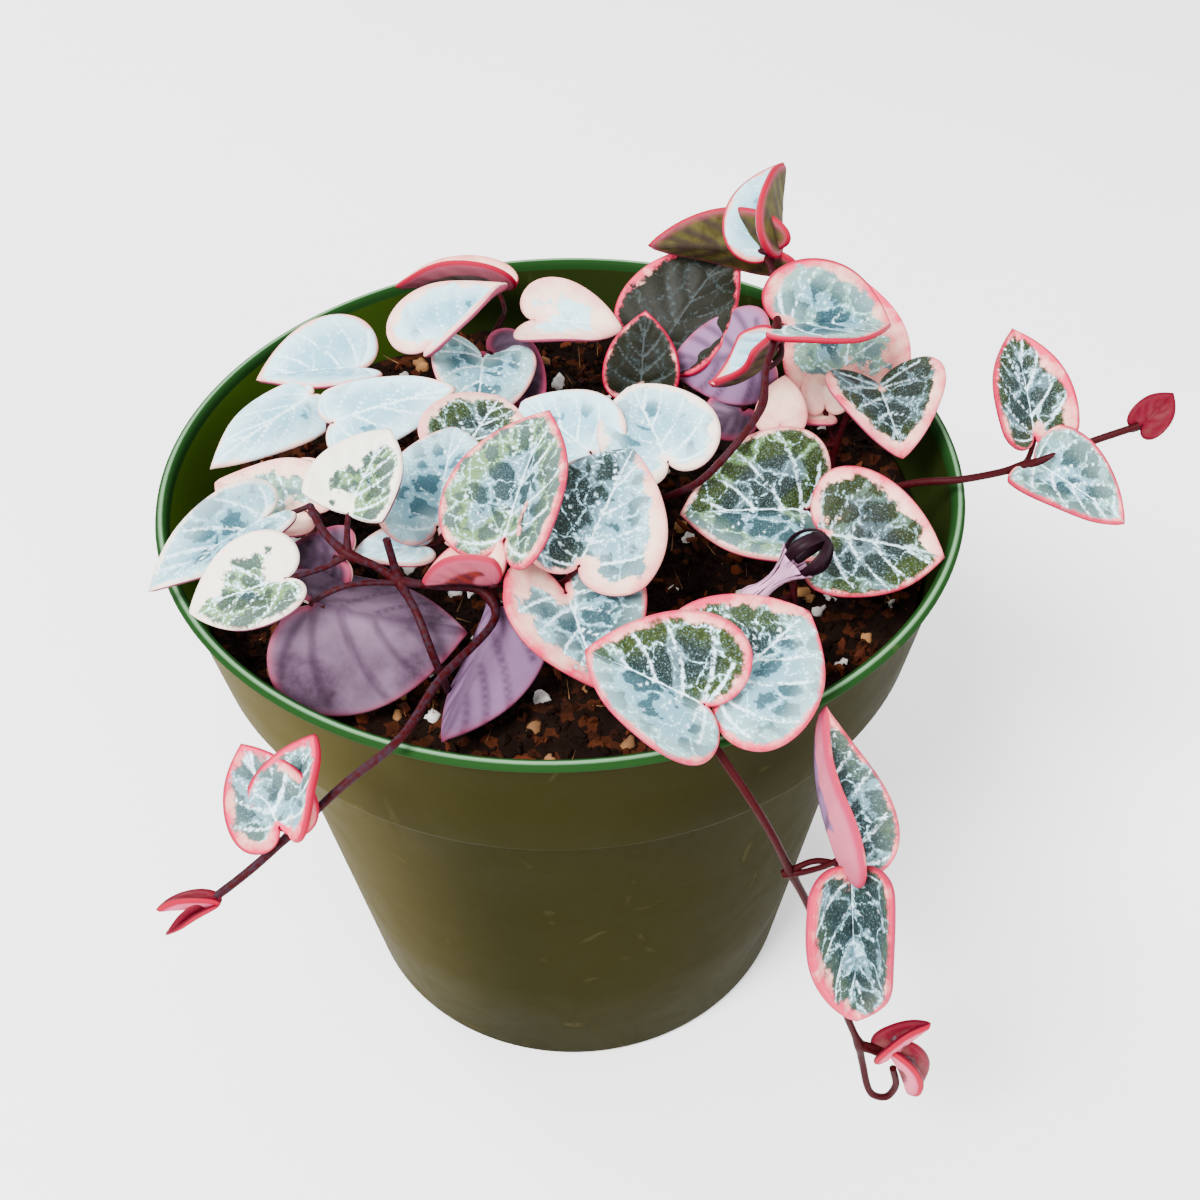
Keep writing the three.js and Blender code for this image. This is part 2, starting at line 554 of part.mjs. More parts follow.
// The soil: one filled body, with lumps of perlite and bark that stand out of its surface,
// and a plain hole for each stem.
function soil(stems) {
  const skirt = BAND_FOOT + 2.5; // foot of the wide upper layer, clear of the pot's step
  const edge = soilRadius(SOIL_TOP) - 0.1;
  const skirtRadius = soilRadius(skirt) - 0.3;
  const core = solid(turned([
    [0, FLOOR + GAP], [soilRadius(FLOOR) - 0.2, FLOOR + GAP], [soilRadius(BAND_FOOT - 1), BAND_FOOT - 1],
    [soilRadius(BAND_FOOT - 1), SOIL_TOP - 4], [0, SOIL_TOP - 4],
  ], SOIL_SIDES));
  const corners = [];
  for (let ring = 0; ring <= SOIL_RINGS; ring += 1) {
    for (let turn = 0; turn < SOIL_SIDES; turn += 1) {
      const radius = (edge * ring) / SOIL_RINGS;
      const angle = (2 * Math.PI * turn) / SOIL_SIDES;
      const x = radius * Math.cos(angle);
      const y = radius * Math.sin(angle);
      corners.push(x, y, soilLevel(x, y));
    }
  }
  const index = [];
  const corner = (ring, turn) => (ring === 0 ? 0 : ring * SOIL_SIDES + (turn % SOIL_SIDES));
  const low = corners.length / 3;
  for (let turn = 0; turn < SOIL_SIDES; turn += 1) {
    const angle = (2 * Math.PI * turn) / SOIL_SIDES;
    corners.push(skirtRadius * Math.cos(angle), skirtRadius * Math.sin(angle), skirt);
  }
  corners.push(0, 0, skirt);
  const middle = corners.length / 3 - 1;
  for (let turn = 0; turn < SOIL_SIDES; turn += 1) {
    for (let ring = 0; ring < SOIL_RINGS; ring += 1) {
      index.push(corner(ring, turn), corner(ring + 1, turn), corner(ring + 1, turn + 1));
      if (ring > 0) index.push(corner(ring, turn), corner(ring + 1, turn + 1), corner(ring, turn + 1));
    }
    const next = (turn + 1) % SOIL_SIDES;
    index.push(corner(SOIL_RINGS, turn), low + turn, low + next);
    index.push(corner(SOIL_RINGS, turn), low + next, corner(SOIL_RINGS, turn + 1));
    index.push(middle, low + next, low + turn);
  }
  const skin = new THREE.BufferGeometry();
  skin.setAttribute('position', new THREE.Float32BufferAttribute(corners, 3));
  skin.setIndex(index);
  let body = solid(skin).add(core);
  for (const lump of lumps(stems)) body = body.add(lump);
  for (const { runs } of stems) {
    const [x, y] = runs[0][0];
    const depth = 2 * (ROOT_DEPTH + GAP) + 0.2;
    const hole = new THREE.CylinderGeometry(HOLE_RADIUS, HOLE_RADIUS, depth, 8).rotateX(Math.PI / 2);
    body = body.subtract(solid(hole.translate(x, y, SOIL_TOP)));
  }
  return body;
}

// Perlite and bark bits, in a seeded scatter over the surface, away from the stems.
function lumps(stems) {
  const draw = seeded(11);
  const bits = [];
  while (bits.length < LUMPS) {
    const radius = 47 * Math.sqrt(draw());
    const turn = 2 * Math.PI * draw();
    const size = 1.1 + 0.9 * draw();
    const x = radius * Math.cos(turn);
    const y = radius * Math.sin(turn);
    const clear = stems.every(({ runs }) => Math.hypot(x - runs[0][0][0], y - runs[0][0][1]) > 5);
    const bit = new THREE.IcosahedronGeometry(size, 0).rotateX(draw() * 3).translate(x, y, soilLevel(x, y));
    if (clear) bits.push(solid(bit));
  }
  return bits;
}

// The flower: a pale tube, swollen at its foot and flared at its mouth, with five dark petals
// that arch up from the mouth and join at their tips. Its stalk comes off the right front stem.
const FLOWER = { foot: [22, -30, 95], tip: [31.5, -29, 104.5], stalkFrom: [29, -21.8, 88], tube: 8.5 };

function flower() {
  const foot = vector(FLOWER.foot);
  const axis = vector(FLOWER.tip).sub(foot);
  const length = axis.length();
  const up = new THREE.Vector3(0, 0, 1);
  const lean = new THREE.Quaternion().setFromUnitVectors(up, axis.clone().normalize());
  const stand = (geometry) => solid(geometry.applyQuaternion(lean).translate(foot.x, foot.y, foot.z));
  const cup = [[0, -0.5], [1.3, 0], [1.6, 1.2], [1, 3], [1, 5], [2.2, FLOWER.tube], [0, FLOWER.tube - 1]];
  const bodies = [
    stand(turned(cup, 10)),
    bar(new THREE.CatmullRomCurve3([
      vector(FLOWER.stalkFrom), new THREE.Vector3(25, -27, 91), foot.clone().addScaledVector(axis, 0.03),
    ]), STALK_RADIUS, 5, 4),
  ];
  for (let petal = 0; petal < 5; petal += 1) {
    const turn = (2 * Math.PI * petal) / 5;
    const bow = [[1.7, FLOWER.tube - 1], [2.5, FLOWER.tube + 2], [1.8, length - 0.8], [0.2, length]];
    const path = new THREE.CatmullRomCurve3(bow.map(([radius, height]) => (
      new THREE.Vector3(radius * Math.cos(turn), radius * Math.sin(turn), height))));
    const strip = new THREE.Shape().moveTo(-0.5, -0.3).lineTo(0.5, -0.3).lineTo(0.5, 0.3).lineTo(-0.5, 0.3);
    const petalForm = { steps: 5, bevelEnabled: false, extrudePath: path };
    bodies.push(stand(new THREE.ExtrudeGeometry(strip, petalForm)));
  }
  return joined(bodies);
}

function plastic() {
  return new THREE.MeshStandardMaterial({ color: '#5f5d35', roughness: 0.45, metalness: 0 });
}

function pottingMix() {
  return new THREE.MeshStandardMaterial({ color: '#33241d', roughness: 0.95, metalness: 0 });
}

function leafGreen() {
  return new THREE.MeshStandardMaterial({ color: '#7f9c93', roughness: 0.5, metalness: 0 });
}

function petalPink() {
  return new THREE.MeshStandardMaterial({ color: '#b98c9a', roughness: 0.6, metalness: 0 });
}

const plant = new THREE.Group();

function addNode(name, body, finish) {
  const mesh = new THREE.Mesh(geometryOf(body), finish);
  mesh.name = name;
  plant.add(mesh);
}

addNode('pot', pot(), plastic());
addNode('soil', soil(vines), pottingMix());
for (const vine of vines) addNode(vine.name, leafyStem(vine), leafGreen());
addNode('flower', flower(), petalPink());

export default plant;
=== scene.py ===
# A variegated string of hearts in a plastic nursery pot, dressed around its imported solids.
# Metres, +Z up. The origin is the middle of the pot's flat underside, and -Y is the front.

import math

import bpy
import numpy as np
from mathutils import Matrix, Vector, noise


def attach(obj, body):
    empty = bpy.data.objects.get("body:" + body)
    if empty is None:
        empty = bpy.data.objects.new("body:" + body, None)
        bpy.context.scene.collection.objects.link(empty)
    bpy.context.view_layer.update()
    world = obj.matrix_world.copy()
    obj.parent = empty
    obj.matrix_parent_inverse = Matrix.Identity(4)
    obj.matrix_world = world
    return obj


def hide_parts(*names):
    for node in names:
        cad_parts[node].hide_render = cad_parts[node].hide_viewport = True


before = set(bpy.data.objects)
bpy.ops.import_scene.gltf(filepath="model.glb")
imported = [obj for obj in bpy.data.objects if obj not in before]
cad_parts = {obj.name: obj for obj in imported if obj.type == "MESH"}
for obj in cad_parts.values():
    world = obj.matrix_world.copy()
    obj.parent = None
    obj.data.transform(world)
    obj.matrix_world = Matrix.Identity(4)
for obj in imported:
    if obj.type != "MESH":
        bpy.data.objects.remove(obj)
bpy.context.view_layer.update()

# Camera
# The photograph looks down into the pot from close in front, with the horizon a little off level.
MM = 0.001
EYE = Vector((0, -157.4, 217.3)) * MM
LOOK_AT = Vector((5.1, 0, 68.2)) * MM
CAMERA_ROLL = math.radians(-0.95)
LENS = 43.05  # on a sensor 36 mm wide

sight = (LOOK_AT - EYE).normalized()
level = sight.cross(Vector((0, 0, 1))).normalized()
upright = level.cross(sight)
across = level * math.cos(CAMERA_ROLL) + upright * math.sin(CAMERA_ROLL)
above = upright * math.cos(CAMERA_ROLL) - level * math.sin(CAMERA_ROLL)
camera_data = bpy.data.cameras.new("camera")
camera_data.lens = LENS
camera_data.sensor_width = 36
camera_data.clip_start = 0.01
camera = bpy.data.objects.new("camera", camera_data)
turn = Matrix((across, above, -sight)).transposed()
camera.matrix_world = Matrix.Translation(EYE) @ turn.to_4x4()
bpy.context.collection.objects.link(camera)
bpy.context.scene.camera = camera


# Floor and light
# A plain white floor under a white sky, with one large soft light above the left shoulder
# and a weaker one at the right, so that the leaves are bright and the pot keeps soft shade.
def node(tree, kind, inputs=None, **settings):
    """Adds a node. An input takes a value, a hex colour, or a socket or node to link, or several."""
    made = tree.nodes.new(kind)
    for name, value in settings.items():
        setattr(made, name, value)
    for key, value in (inputs or {}).items():
        for given in value if isinstance(value, list) else [value]:
            if isinstance(given, bpy.types.Node):
                given = next(socket for socket in given.outputs if socket.enabled)
            if isinstance(given, bpy.types.NodeSocket):
                tree.links.new(given, made.inputs[key])
            elif isinstance(given, str) and given.startswith("#"):
                made.inputs[key].default_value = colour(given)
            else:
                made.inputs[key].default_value = given
    return made


def colour(code):
    """An sRGB hex colour as linear RGBA."""
    parts = [int(code[at:at + 2], 16) / 255 for at in (1, 3, 5)]
    linear = [part / 12.92 if part <= 0.04045 else ((part + 0.055) / 1.055) ** 2.4 for part in parts]
    return (*linear, 1)


def new_material(name):
    """An empty material tree with its output, and the tree."""
    material = bpy.data.materials.new(name)
    material.use_nodes = True
    material.node_tree.nodes.clear()
    return material, material.node_tree


def finish_material(tree, tint, rough, gloss, grain=None, strength=0, depth=0):
    """The surface shader of a material, with a grain of a given strength and depth in metres."""
    sockets = {"Base Color": tint, "Roughness": rough, "Specular IOR Level": gloss}
    if grain:
        sockets["Normal"] = node(tree, "ShaderNodeBump", {
            "Strength": strength, "Distance": depth, "Height": grain})
    surface = node(tree, "ShaderNodeBsdfPrincipled", sockets)
    node(tree, "ShaderNodeOutputMaterial", {"Surface": surface})


def placed(name, mesh):
    """A mesh as an object of the scene, at the origin."""
    piece = bpy.data.objects.new(name, mesh)
    bpy.context.collection.objects.link(piece)
    return piece


def mesh_of(name, points, faces, edges=()):
    """A mesh from points in millimetres."""
    mesh = bpy.data.meshes.new(name)
    mesh.from_pydata((np.asarray(points) * MM).tolist(), edges, faces)
    mesh.update()
    return mesh


def note(mesh, name, values):
    """Writes a number or a vector for each point of a mesh, which materials and node trees read."""
    values = np.array(values, np.float32)
    kind, part = ("FLOAT", "value") if values.ndim == 1 else ("FLOAT_VECTOR", "vector")
    mesh.attributes.new(name, kind, "POINT").data.foreach_set(part, values.ravel())


def white_paper():
    # Matt white paper: it gives the object nothing but a soft shadow.
    material, tree = new_material("matt_white_paper")
    grain = node(tree, "ShaderNodeTexNoise", {"Scale": 40})
    tint = node(tree, "ShaderNodeMix", {0: grain, 6: "#f4f4f4", 7: "#f9f9f9"}, data_type="RGBA")
    finish_material(tree, tint, 0.9, 0.5)
    return material


FLOOR_HALF = 1500  # mm
SKY_STRENGTH = 1.68
floor = placed("floor", mesh_of("floor", [
    (-FLOOR_HALF, -FLOOR_HALF, 0), (FLOOR_HALF, -FLOOR_HALF, 0),
    (FLOOR_HALF, FLOOR_HALF, 0), (-FLOOR_HALF, FLOOR_HALF, 0)], [(0, 1, 2, 3)]))
floor.data.materials.append(white_paper())

world = bpy.data.worlds.new("sky")
world.use_nodes = True
sky = world.node_tree.nodes["Background"].inputs
sky[0].default_value = colour("#ffffff")
sky[1].default_value = SKY_STRENGTH
bpy.context.scene.world = world


def soft_light(name, place, size, power):
    lamp = bpy.data.lights.new(name, "AREA")
    lamp.shape = "DISK"
    lamp.size = size
    lamp.energy = power
    light = bpy.data.objects.new(name, lamp)
    light.location = place
    light.rotation_euler = (Vector((0, 0, 0.08)) - light.location).to_track_quat("-Z", "Y").to_euler()
    bpy.context.collection.objects.link(light)


soft_light("key_light", Vector((-0.5, -0.6, 1.1)), 0.5, 50)
soft_light("fill_light", Vector((0.6, -0.9, 0.5)), 0.7, 11)
soft_light("back_light", Vector((-0.7, 0.7, 0.6)), 0.5, 10)


# Pot
# A thin nursery pot of injection-moulded olive-green polypropylene: a tapered body, a wider
# upper band above a small step, a rolled lip, and drain holes round the floor.
POT_PROFILE = [  # radius and height, from the axis under the floor, round the lip, to the axis inside
    (0, 0), (35.2, 0), (36.3, 0.25), (36.9, 0.9), (40.1, 24), (43.5, 48.5), (47, 72.6),
    (47.4, 73.5), (48.4, 73.9), (50.4, 74.1), (50.9, 74.4), (51.1, 75), (52.4, 83.4), (53.8, 93.2),
    (53.95, 93.6), (54.5, 93.75), (54.85, 94), (55, 94.35), (54.9, 94.7), (54.6, 94.93), (54.2, 95),
    (53.75, 94.9), (53.45, 94.6), (53.3, 94.1), (51.5, 84), (49.9, 75.6), (49.3, 75.1),
    (46.6, 74.2), (46, 73.4), (42.5, 49), (39.2, 25), (36, 2.4), (35.2, 1.7), (0, 1.6),
]
POT_SIDES = 160
POT_INNER = 22  # the profile goes down the inner wall after this point
DRAIN_HOLES = 6
DRAIN_RING = 25
DRAIN_RADIUS = 3.5
DRAIN_SIDES = 32


def turned(profile, sides):
    """The points and faces of a closed turned piece, with one point at each pole."""
    points = [(0, 0, profile[0][1])]
    for radius, height in profile[1:-1]:
        for side in range(sides):
            angle = 2 * math.pi * side / sides
            points.append((radius * math.cos(angle), radius * math.sin(angle), height))
    points.append((0, 0, profile[-1][1]))
    top = len(points) - 1
    faces = []
    for side in range(sides):
        after = (side + 1) % sides
        faces.append((0, 1 + after, 1 + side))
        for ring in range(len(profile) - 3):
            low = 1 + ring * sides
            high = low + sides
            faces.append((low + side, low + after, high + after, high + side))
        last = top - sides
        faces.append((last + side, last + after, top))
    return points, faces


def smooth(mesh):
    mesh.polygons.foreach_set("use_smooth", np.ones(len(mesh.polygons), bool))
    mesh.update()


def settled(piece):
    """Turns what a piece's modifiers make into its plain mesh, and removes them."""
    bpy.context.view_layer.update()
    graph = bpy.context.evaluated_depsgraph_get()
    plain = bpy.data.meshes.new_from_object(
        piece.evaluated_get(graph), preserve_all_data_layers=True, depsgraph=graph)
    piece.modifiers.clear()
    piece.data = plain


def moulded_polypropylene():
    # Injection-moulded polypropylene: satin, greener inside, with fine flow marks and small scuffs from
    # the
    # nursery tray. Painted light: the front left side and the left of the inner wall are painted lighter,
    # the lip is painted a brighter green than the same plastic below it, and a painted highlight runs
    # along the top of the lip.
    material, tree = new_material("moulded_polypropylene")
    place = node(tree, "ShaderNodeTexCoord").outputs["Object"]
    axes = node(tree, "ShaderNodeSeparateXYZ", {0: place}).outputs
    clouds = node(tree, "ShaderNodeTexNoise", {"Vector": place, "Scale": 22, "Detail": 3})
    # Where the pot faces left and front, and where its lip and the top of its lip are, in metres; these
    # masks lay the painted light on the left, the lip's painted green and the painted highlight along the
    # top of the lip.
    left, front, lip, painted_highlight = [
        node(tree, "ShaderNodeMapRange", {
            "Value": axes[axis], 1: low, 2: high, 4: most}, interpolation_type="SMOOTHSTEP")
        for axis, low, high, most in [
            ("X", -0.008, -0.052, 1), ("Y", 0.035, 0.01, 1),
            ("Z", 0.0935, 0.0937, 1), ("Z", 0.09492, 0.095, 0.5)]]
    # The front left side is painted lighter: painted light, as if lit through the plastic.
    painted_light = node(tree, "ShaderNodeMath", {0: left, 1: front}, operation="MULTIPLY")
    inside = node(tree, "ShaderNodeAttribute", attribute_name="inside").outputs["Fac"]
    # The inner wall is painted lighter towards the left: painted light.
    wall = node(tree, "ShaderNodeMix", {0: left, 6: "#1a220a", 7: "#344c14"}, data_type="RGBA")
    scuffs = node(tree, "ShaderNodeTexNoise", {
        "Vector": place, "Scale": 90, "Detail": 5, "Distortion": 1.5})
    marks = node(tree, "ShaderNodeMapRange", {"Value": scuffs, 1: 0.66, 2: 0.74})
    worn = node(tree, "ShaderNodeMath", {0: marks, 1: 0.04}, operation="MULTIPLY")
    tint = "#1a1804"
    # Over the body: random clouds, painted light on the front left, the inner wall, the lip painted a
    # brighter green than the body as painted light, a painted highlight along the top of the lip, and
    # scuffs.
    for share, coat in [(clouds, "#211f08"), (painted_light, "#443c17"), (inside, wall), (lip, "#163214"),
                        (painted_highlight, "#86b088"), (worn, "#a09668")]:
        tint = node(tree, "ShaderNodeMix", {0: share, 6: tint, 7: coat}, data_type="RGBA")
    rough = node(tree, "ShaderNodeMapRange", {"Value": scuffs, 3: 0.4, 4: 0.6})
    orange_peel = node(tree, "ShaderNodeTexNoise", {"Vector": place, "Scale": 700})
    finish_material(tree, tint, rough, 0.005, orange_peel, 0.06, 0.0004)
    return material


pot = placed("nursery_pot", mesh_of("nursery_pot", *turned(POT_PROFILE, POT_SIDES)))
ring_inside = [at > POT_INNER for at in range(1, len(POT_PROFILE) - 1)]
inside_share = np.concatenate([[0], np.repeat(ring_inside, POT_SIDES), [1]])
note(pot.data, "inside", inside_share)
rod_points, rod_faces = turned([(0, -2), (DRAIN_RADIUS, -2), (DRAIN_RADIUS, 4), (0, 4)], DRAIN_SIDES)
drain_points = []
drain_faces = []
for hole in range(DRAIN_HOLES):
    angle = 2 * math.pi * hole / DRAIN_HOLES
    here = DRAIN_RING * np.array([math.cos(angle), math.sin(angle), 0])
    drain_faces += [tuple(len(drain_points) + corner for corner in face) for face in rod_faces]
    drain_points += [tuple(point + here) for point in rod_points]
drains = placed("drains", mesh_of("drains", drain_points, drain_faces))
drill = pot.modifiers.new("drill", "BOOLEAN")
drill.object = drains
drill.operation = "DIFFERENCE"
settled(pot)
bpy.data.objects.remove(drains)
smooth(pot.data)
pot.data.set_sharp_from_angle(angle=math.radians(50))
pot.data.materials.clear()
pot.data.materials.append(moulded_polypropylene())
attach(pot, "root")
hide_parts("pot")


# Potting mix
# Dark composted bark and peat, filled to a centimetre under the rim, with white perlite, tan grit,
# orange bark chips and fine roots that lie loose on its surface.
SOIL_TOP = 84
SOIL_SWELL = 0.55
SOIL_EDGE = 50.9
SOIL_RINGS = 70
SOIL_SIDES = 180
SOIL_BARE = 3  # so many outer rings carry no loose grain, which keeps the grains out of the wall
SOIL_FLANK = [(49.2, 76.8), (45.4, 73.4), (35.2, 2)]  # radius and height down the pot's wall


def soil_level(x, y):
    """The height of the bed: long waves, as in the solid, with lumps of about 6 and 2 mm."""
    waves = math.sin(0.23 * x + 1.1) * math.cos(0.19 * y - 0.4) + 0.6 * math.sin(0.41 * y + 0.3 * x)
    lumps = noise.noise(Vector((x, y, 3)) / 6) + 0.6 * noise.noise(Vector((x, y, 9)) / 2.2)
    return SOIL_TOP + SOIL_SWELL * waves + 0.9 * lumps


def soil_body():
    """The points and faces of the bed and its sides, from the middle of the top to that of the bottom."""
    rounds = [2 * math.pi * side / SOIL_SIDES for side in range(SOIL_SIDES)]
    points = [(0, 0, soil_level(0, 0))]
    for ring in range(1, SOIL_RINGS + 1):
        for angle in rounds:
            x = SOIL_EDGE * ring / SOIL_RINGS * math.cos(angle)
            y = SOIL_EDGE * ring / SOIL_RINGS * math.sin(angle)
            points.append((x, y, soil_level(x, y)))
    for radius, height in SOIL_FLANK:
        points += [(radius * math.cos(angle), radius * math.sin(angle), height) for angle in rounds]
    points.append((0, 0, SOIL_FLANK[-1][1]))
    bottom = len(points) - 1
    faces = []
    for side in range(SOIL_SIDES):
        after = (side + 1) % SOIL_SIDES
        faces.append((0, 1 + side, 1 + after))
        for near in range(1, bottom - SOIL_SIDES, SOIL_SIDES):
            far = near + SOIL_SIDES
            faces.append((near + side, far + side, far + after, near + after))
        last = bottom - SOIL_SIDES
        faces.append((last + side, bottom, last + after))
    return points, faces


def composted_bark():
    # Damp peat and composted bark: dull, nearly black in its pores, with red-brown bits.
    material, tree = new_material("composted_bark")
    place = node(tree, "ShaderNodeTexCoord").outputs["Object"]
    crumbs = node(tree, "ShaderNodeTexVoronoi", {"Vector": place, "Scale": 700})
    bits = node(tree, "ShaderNodeSeparateColor", {0: crumbs.outputs["Color"]})
    rare = node(tree, "ShaderNodeMapRange", {"Value": bits, 1: 0.7, 2: 0.95})
    patches = node(tree, "ShaderNodeTexNoise", {"Vector": place, "Scale": 160, "Detail": 4})
    tint = "#030101"
    for share, coat in [(patches, "#190c06"), (rare, "#38190b")]:
        tint = node(tree, "ShaderNodeMix", {0: share, 6: tint, 7: coat}, data_type="RGBA")
    finish_material(tree, tint, 0.85, 0.05, patches, 0.7, 0.0006)
    return material


def mineral(name, low, high, scale):
    # Loose grit and perlite: matt grains in two tones that change from grain to grain.
    material, tree = new_material(name)
    place = node(tree, "ShaderNodeTexCoord").outputs["Object"]
    tones = node(tree, "ShaderNodeTexNoise", {"Vector": place, "Scale": scale, "Detail": 3})
    spread = node(tree, "ShaderNodeMapRange", {"Value": tones, 1: 0.35, 2: 0.65})
    tint = node(tree, "ShaderNodeMix", {0: spread, 6: low, 7: high}, data_type="RGBA")
    finish_material(tree, tint, 0.8, 0.1, tones, 0.4, 0.0003)
    return material


def new_tree(name, **inputs):
    """A Geometry Nodes tree with a geometry in and out and its other inputs, and their sockets."""
    tree = bpy.data.node_groups.new(name, "GeometryNodeTree")
    tree.interface.new_socket("Geometry", in_out="OUTPUT", socket_type="NodeSocketGeometry")
    for label, kind in {"Geometry": "Geometry", **inputs}.items():
        tree.interface.new_socket(label, in_out="INPUT", socket_type="NodeSocket" + kind)
    return tree, node(tree, "NodeGroupInput").outputs


def scatter_tree():
    """Scatters one kind of grain over the bed, and joins it to what is there."""
    tree, given = new_tree("scatter_grains", Grain="Object", Density="Float", Smallest="Float",
                           Largest="Float", Seed="Int", Finish="Material")
    bed = node(tree, "GeometryNodeInputNamedAttribute", {"Name": "bed"}, data_type="FLOAT")
    density = node(tree, "ShaderNodeMath", {0: given["Density"], 1: bed}, operation="MULTIPLY")
    spots = node(tree, "GeometryNodeDistributePointsOnFaces", {
        "Mesh": given["Geometry"], "Density": density, "Seed": given["Seed"]})
    grain = node(tree, "GeometryNodeObjectInfo", {"Object": given["Grain"]})
    turns = node(tree, "FunctionNodeRandomValue", {
        "Max": (6.28, 6.28, 6.28), "Seed": given["Seed"]}, data_type="FLOAT_VECTOR")
    sizes = node(tree, "FunctionNodeRandomValue", {
        2: given["Smallest"], 3: given["Largest"], "Seed": given["Seed"]}, data_type="FLOAT")
    grains = node(tree, "GeometryNodeInstanceOnPoints", {
        "Points": spots, "Instance": grain.outputs["Geometry"],
        "Rotation": turns, "Scale": sizes})
    whole = node(tree, "GeometryNodeRealizeInstances", {0: grains})
    finish = node(tree, "GeometryNodeSetMaterial", {
        "Geometry": whole, "Material": given["Finish"]})
    joined = node(tree, "GeometryNodeJoinGeometry", {0: [given["Geometry"], finish]})
    node(tree, "NodeGroupOutput", {"Geometry": joined})
    return tree


def with_tree(piece, tree, values):
    """Adds a Geometry Nodes modifier with its inputs set by their names in the tree."""
    modifier = piece.modifiers.new(tree.name, "NODES")
    modifier.node_group = tree
    for item in tree.interface.items_tree:
        if item.in_out == "INPUT" and item.name in values:
            modifier[item.identifier] = values[item.name]


def grain_shape(name, profile, sides, stretch, rough, seed):
    """One grain, a unit across: a turned ball, stretched and dented."""
    points, faces = turned(profile, sides)
    moved = []
    for point in points:
        dent = noise.noise(Vector(point) * 2.3 + Vector((seed, 0, 0)))
        moved.append([axis * size * (1 + rough * dent) for axis, size in zip(point, stretch)])
    grain = bpy.data.objects.new(name, mesh_of(name, np.array(moved) / MM, faces))
    if sides > 6:
        smooth(grain.data)
    return grain


soil = placed("potting_mix", mesh_of("potting_mix", *soil_body()))
note(soil.data, "bed", np.arange(len(soil.data.vertices)) < 1 + SOIL_SIDES * (SOIL_RINGS - SOIL_BARE))
bark_bed = composted_bark()
soil.data.materials.append(bark_bed)
perlite = mineral("expanded_perlite", "#8f8a84", "#dcd8d4", 300)
grit = mineral("washed_grit", "#4d3324", "#94693f", 120)
chips = mineral("pine_bark_chips", "#2a0d05", "#5c2a12", 200)
roots = mineral("dry_root_fibre", "#4a2d1c", "#96704a", 400)
scatter = scatter_tree()
SPLINTER = [(0, -0.5), (0.5, 0), (0, 0.5)]
LUMP = [(0, -0.5), (0.42, -0.28), (0.5, 0.05), (0.36, 0.36), (0, 0.5)]
BALL = [(0, -0.5), (0.27, -0.43), (0.43, -0.25), (0.5, 0), (0.43, 0.25), (0.27, 0.43), (0, 0.5)]
# Each kind of grain: its shape, how many lie on a square metre, its smallest and largest size in
# metres, its seed and its finish.
grains = [
    (grain_shape("dust", SPLINTER, 3, (1, 0.8, 0.6), 0.9, 6), 1100000, 0.0003, 0.001, 6, bark_bed),
    (grain_shape("crumb", LUMP, 5, (1, 0.8, 0.7), 0.9, 1), 190000, 0.0008, 0.0022, 1, bark_bed),
    (grain_shape("bead", BALL, 10, (1, 0.9, 0.8), 0.9, 2), 5500, 0.001, 0.0028, 2, perlite),
    (grain_shape("pebble", BALL, 10, (1, 0.85, 0.7), 0.5, 3), 5000, 0.001, 0.003, 3, grit),
    (grain_shape("chip", LUMP, 6, (1.4, 0.7, 0.3), 0.6, 4), 16000, 0.0008, 0.003, 4, chips),
    (grain_shape("fibre", SPLINTER, 4, (5, 0.12, 0.12), 0.2, 5), 9000, 0.0008, 0.0016, 5, roots),
]
for grain, density, smallest, largest, seed, finish in grains:
    with_tree(soil, scatter, {
        "Grain": grain, "Density": density, "Smallest": smallest, "Largest": largest,
        "Seed": seed, "Finish": finish})
settled(soil)
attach(soil, "root")
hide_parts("soil")


# Leafy stems
# Thin succulent runners with a bloom on their dark red skin, a swollen joint at each pair of leaves,
# and thick heart-shaped leaves with silver-marbled faces and mauve undersides.
STEM_RADIUS = 0.5
STALK_RADIUS = 0.36
JOINT_REACH = 1.5  # how far a joint's swelling runs along the stem
JOINT_SWELL = 0.5  # how much thicker the stem is there, as a share
JOINT_BARE = 0.8  # how much of its bloom the stem lacks there
PATH_STEP = 0.7
STALK_STEP = 0.6
LEAF_THICK = 1.0
EDGE_ROUND = 0.6  # how far in from the edge a leaf reaches its full thickness
EDGE_WAVE = 0.018  # in units of the leaf's length
VEIN_GROOVE = 0.2
VEIN_HALF = 0.45
FIELD_RISE = 0.12  # how far the skin stands up between the veins
FULL_THICK_CHORD = 9  # a shorter leaf is thinner by its length
LEAF_SHOULDER = 0.55  # half of a leaf's width, in units of its length
LOBE_STEPS = 14
FLANK_STEPS = 34
VEIN_STEPS = 80
STEM_SIDES = 12
LEAF_RINGS = (0, 0.06, 0.14, 0.24, 0.35, 0.46, 0.57, 0.68, 0.78, 0.87, 0.93, 0.965, 0.99, 1)


def bezier(corners, steps):
    """Points on a Bezier curve of three or four corners."""
    t = np.linspace(0, 1, steps + 1)[:, None]
    layer = [np.array(corner, float) for corner in corners]
    while len(layer) > 1:
        layer = [(1 - t) * one + t * other for one, other in zip(layer, layer[1:])]
    return layer[0]


# Half of a heart's outline, from the notch round the lobe to the tip, in units of the leaf's length.
HALF_OUTLINE = np.vstack([
    bezier([(0, 0), (0.02, -0.14), (0.2, -0.25), (0.38, -0.14)], LOBE_STEPS)[:-1],
    bezier([(0.38, -0.14), (0.64, 0.01), (0.62, 0.56), (0, 1)], FLANK_STEPS),
])
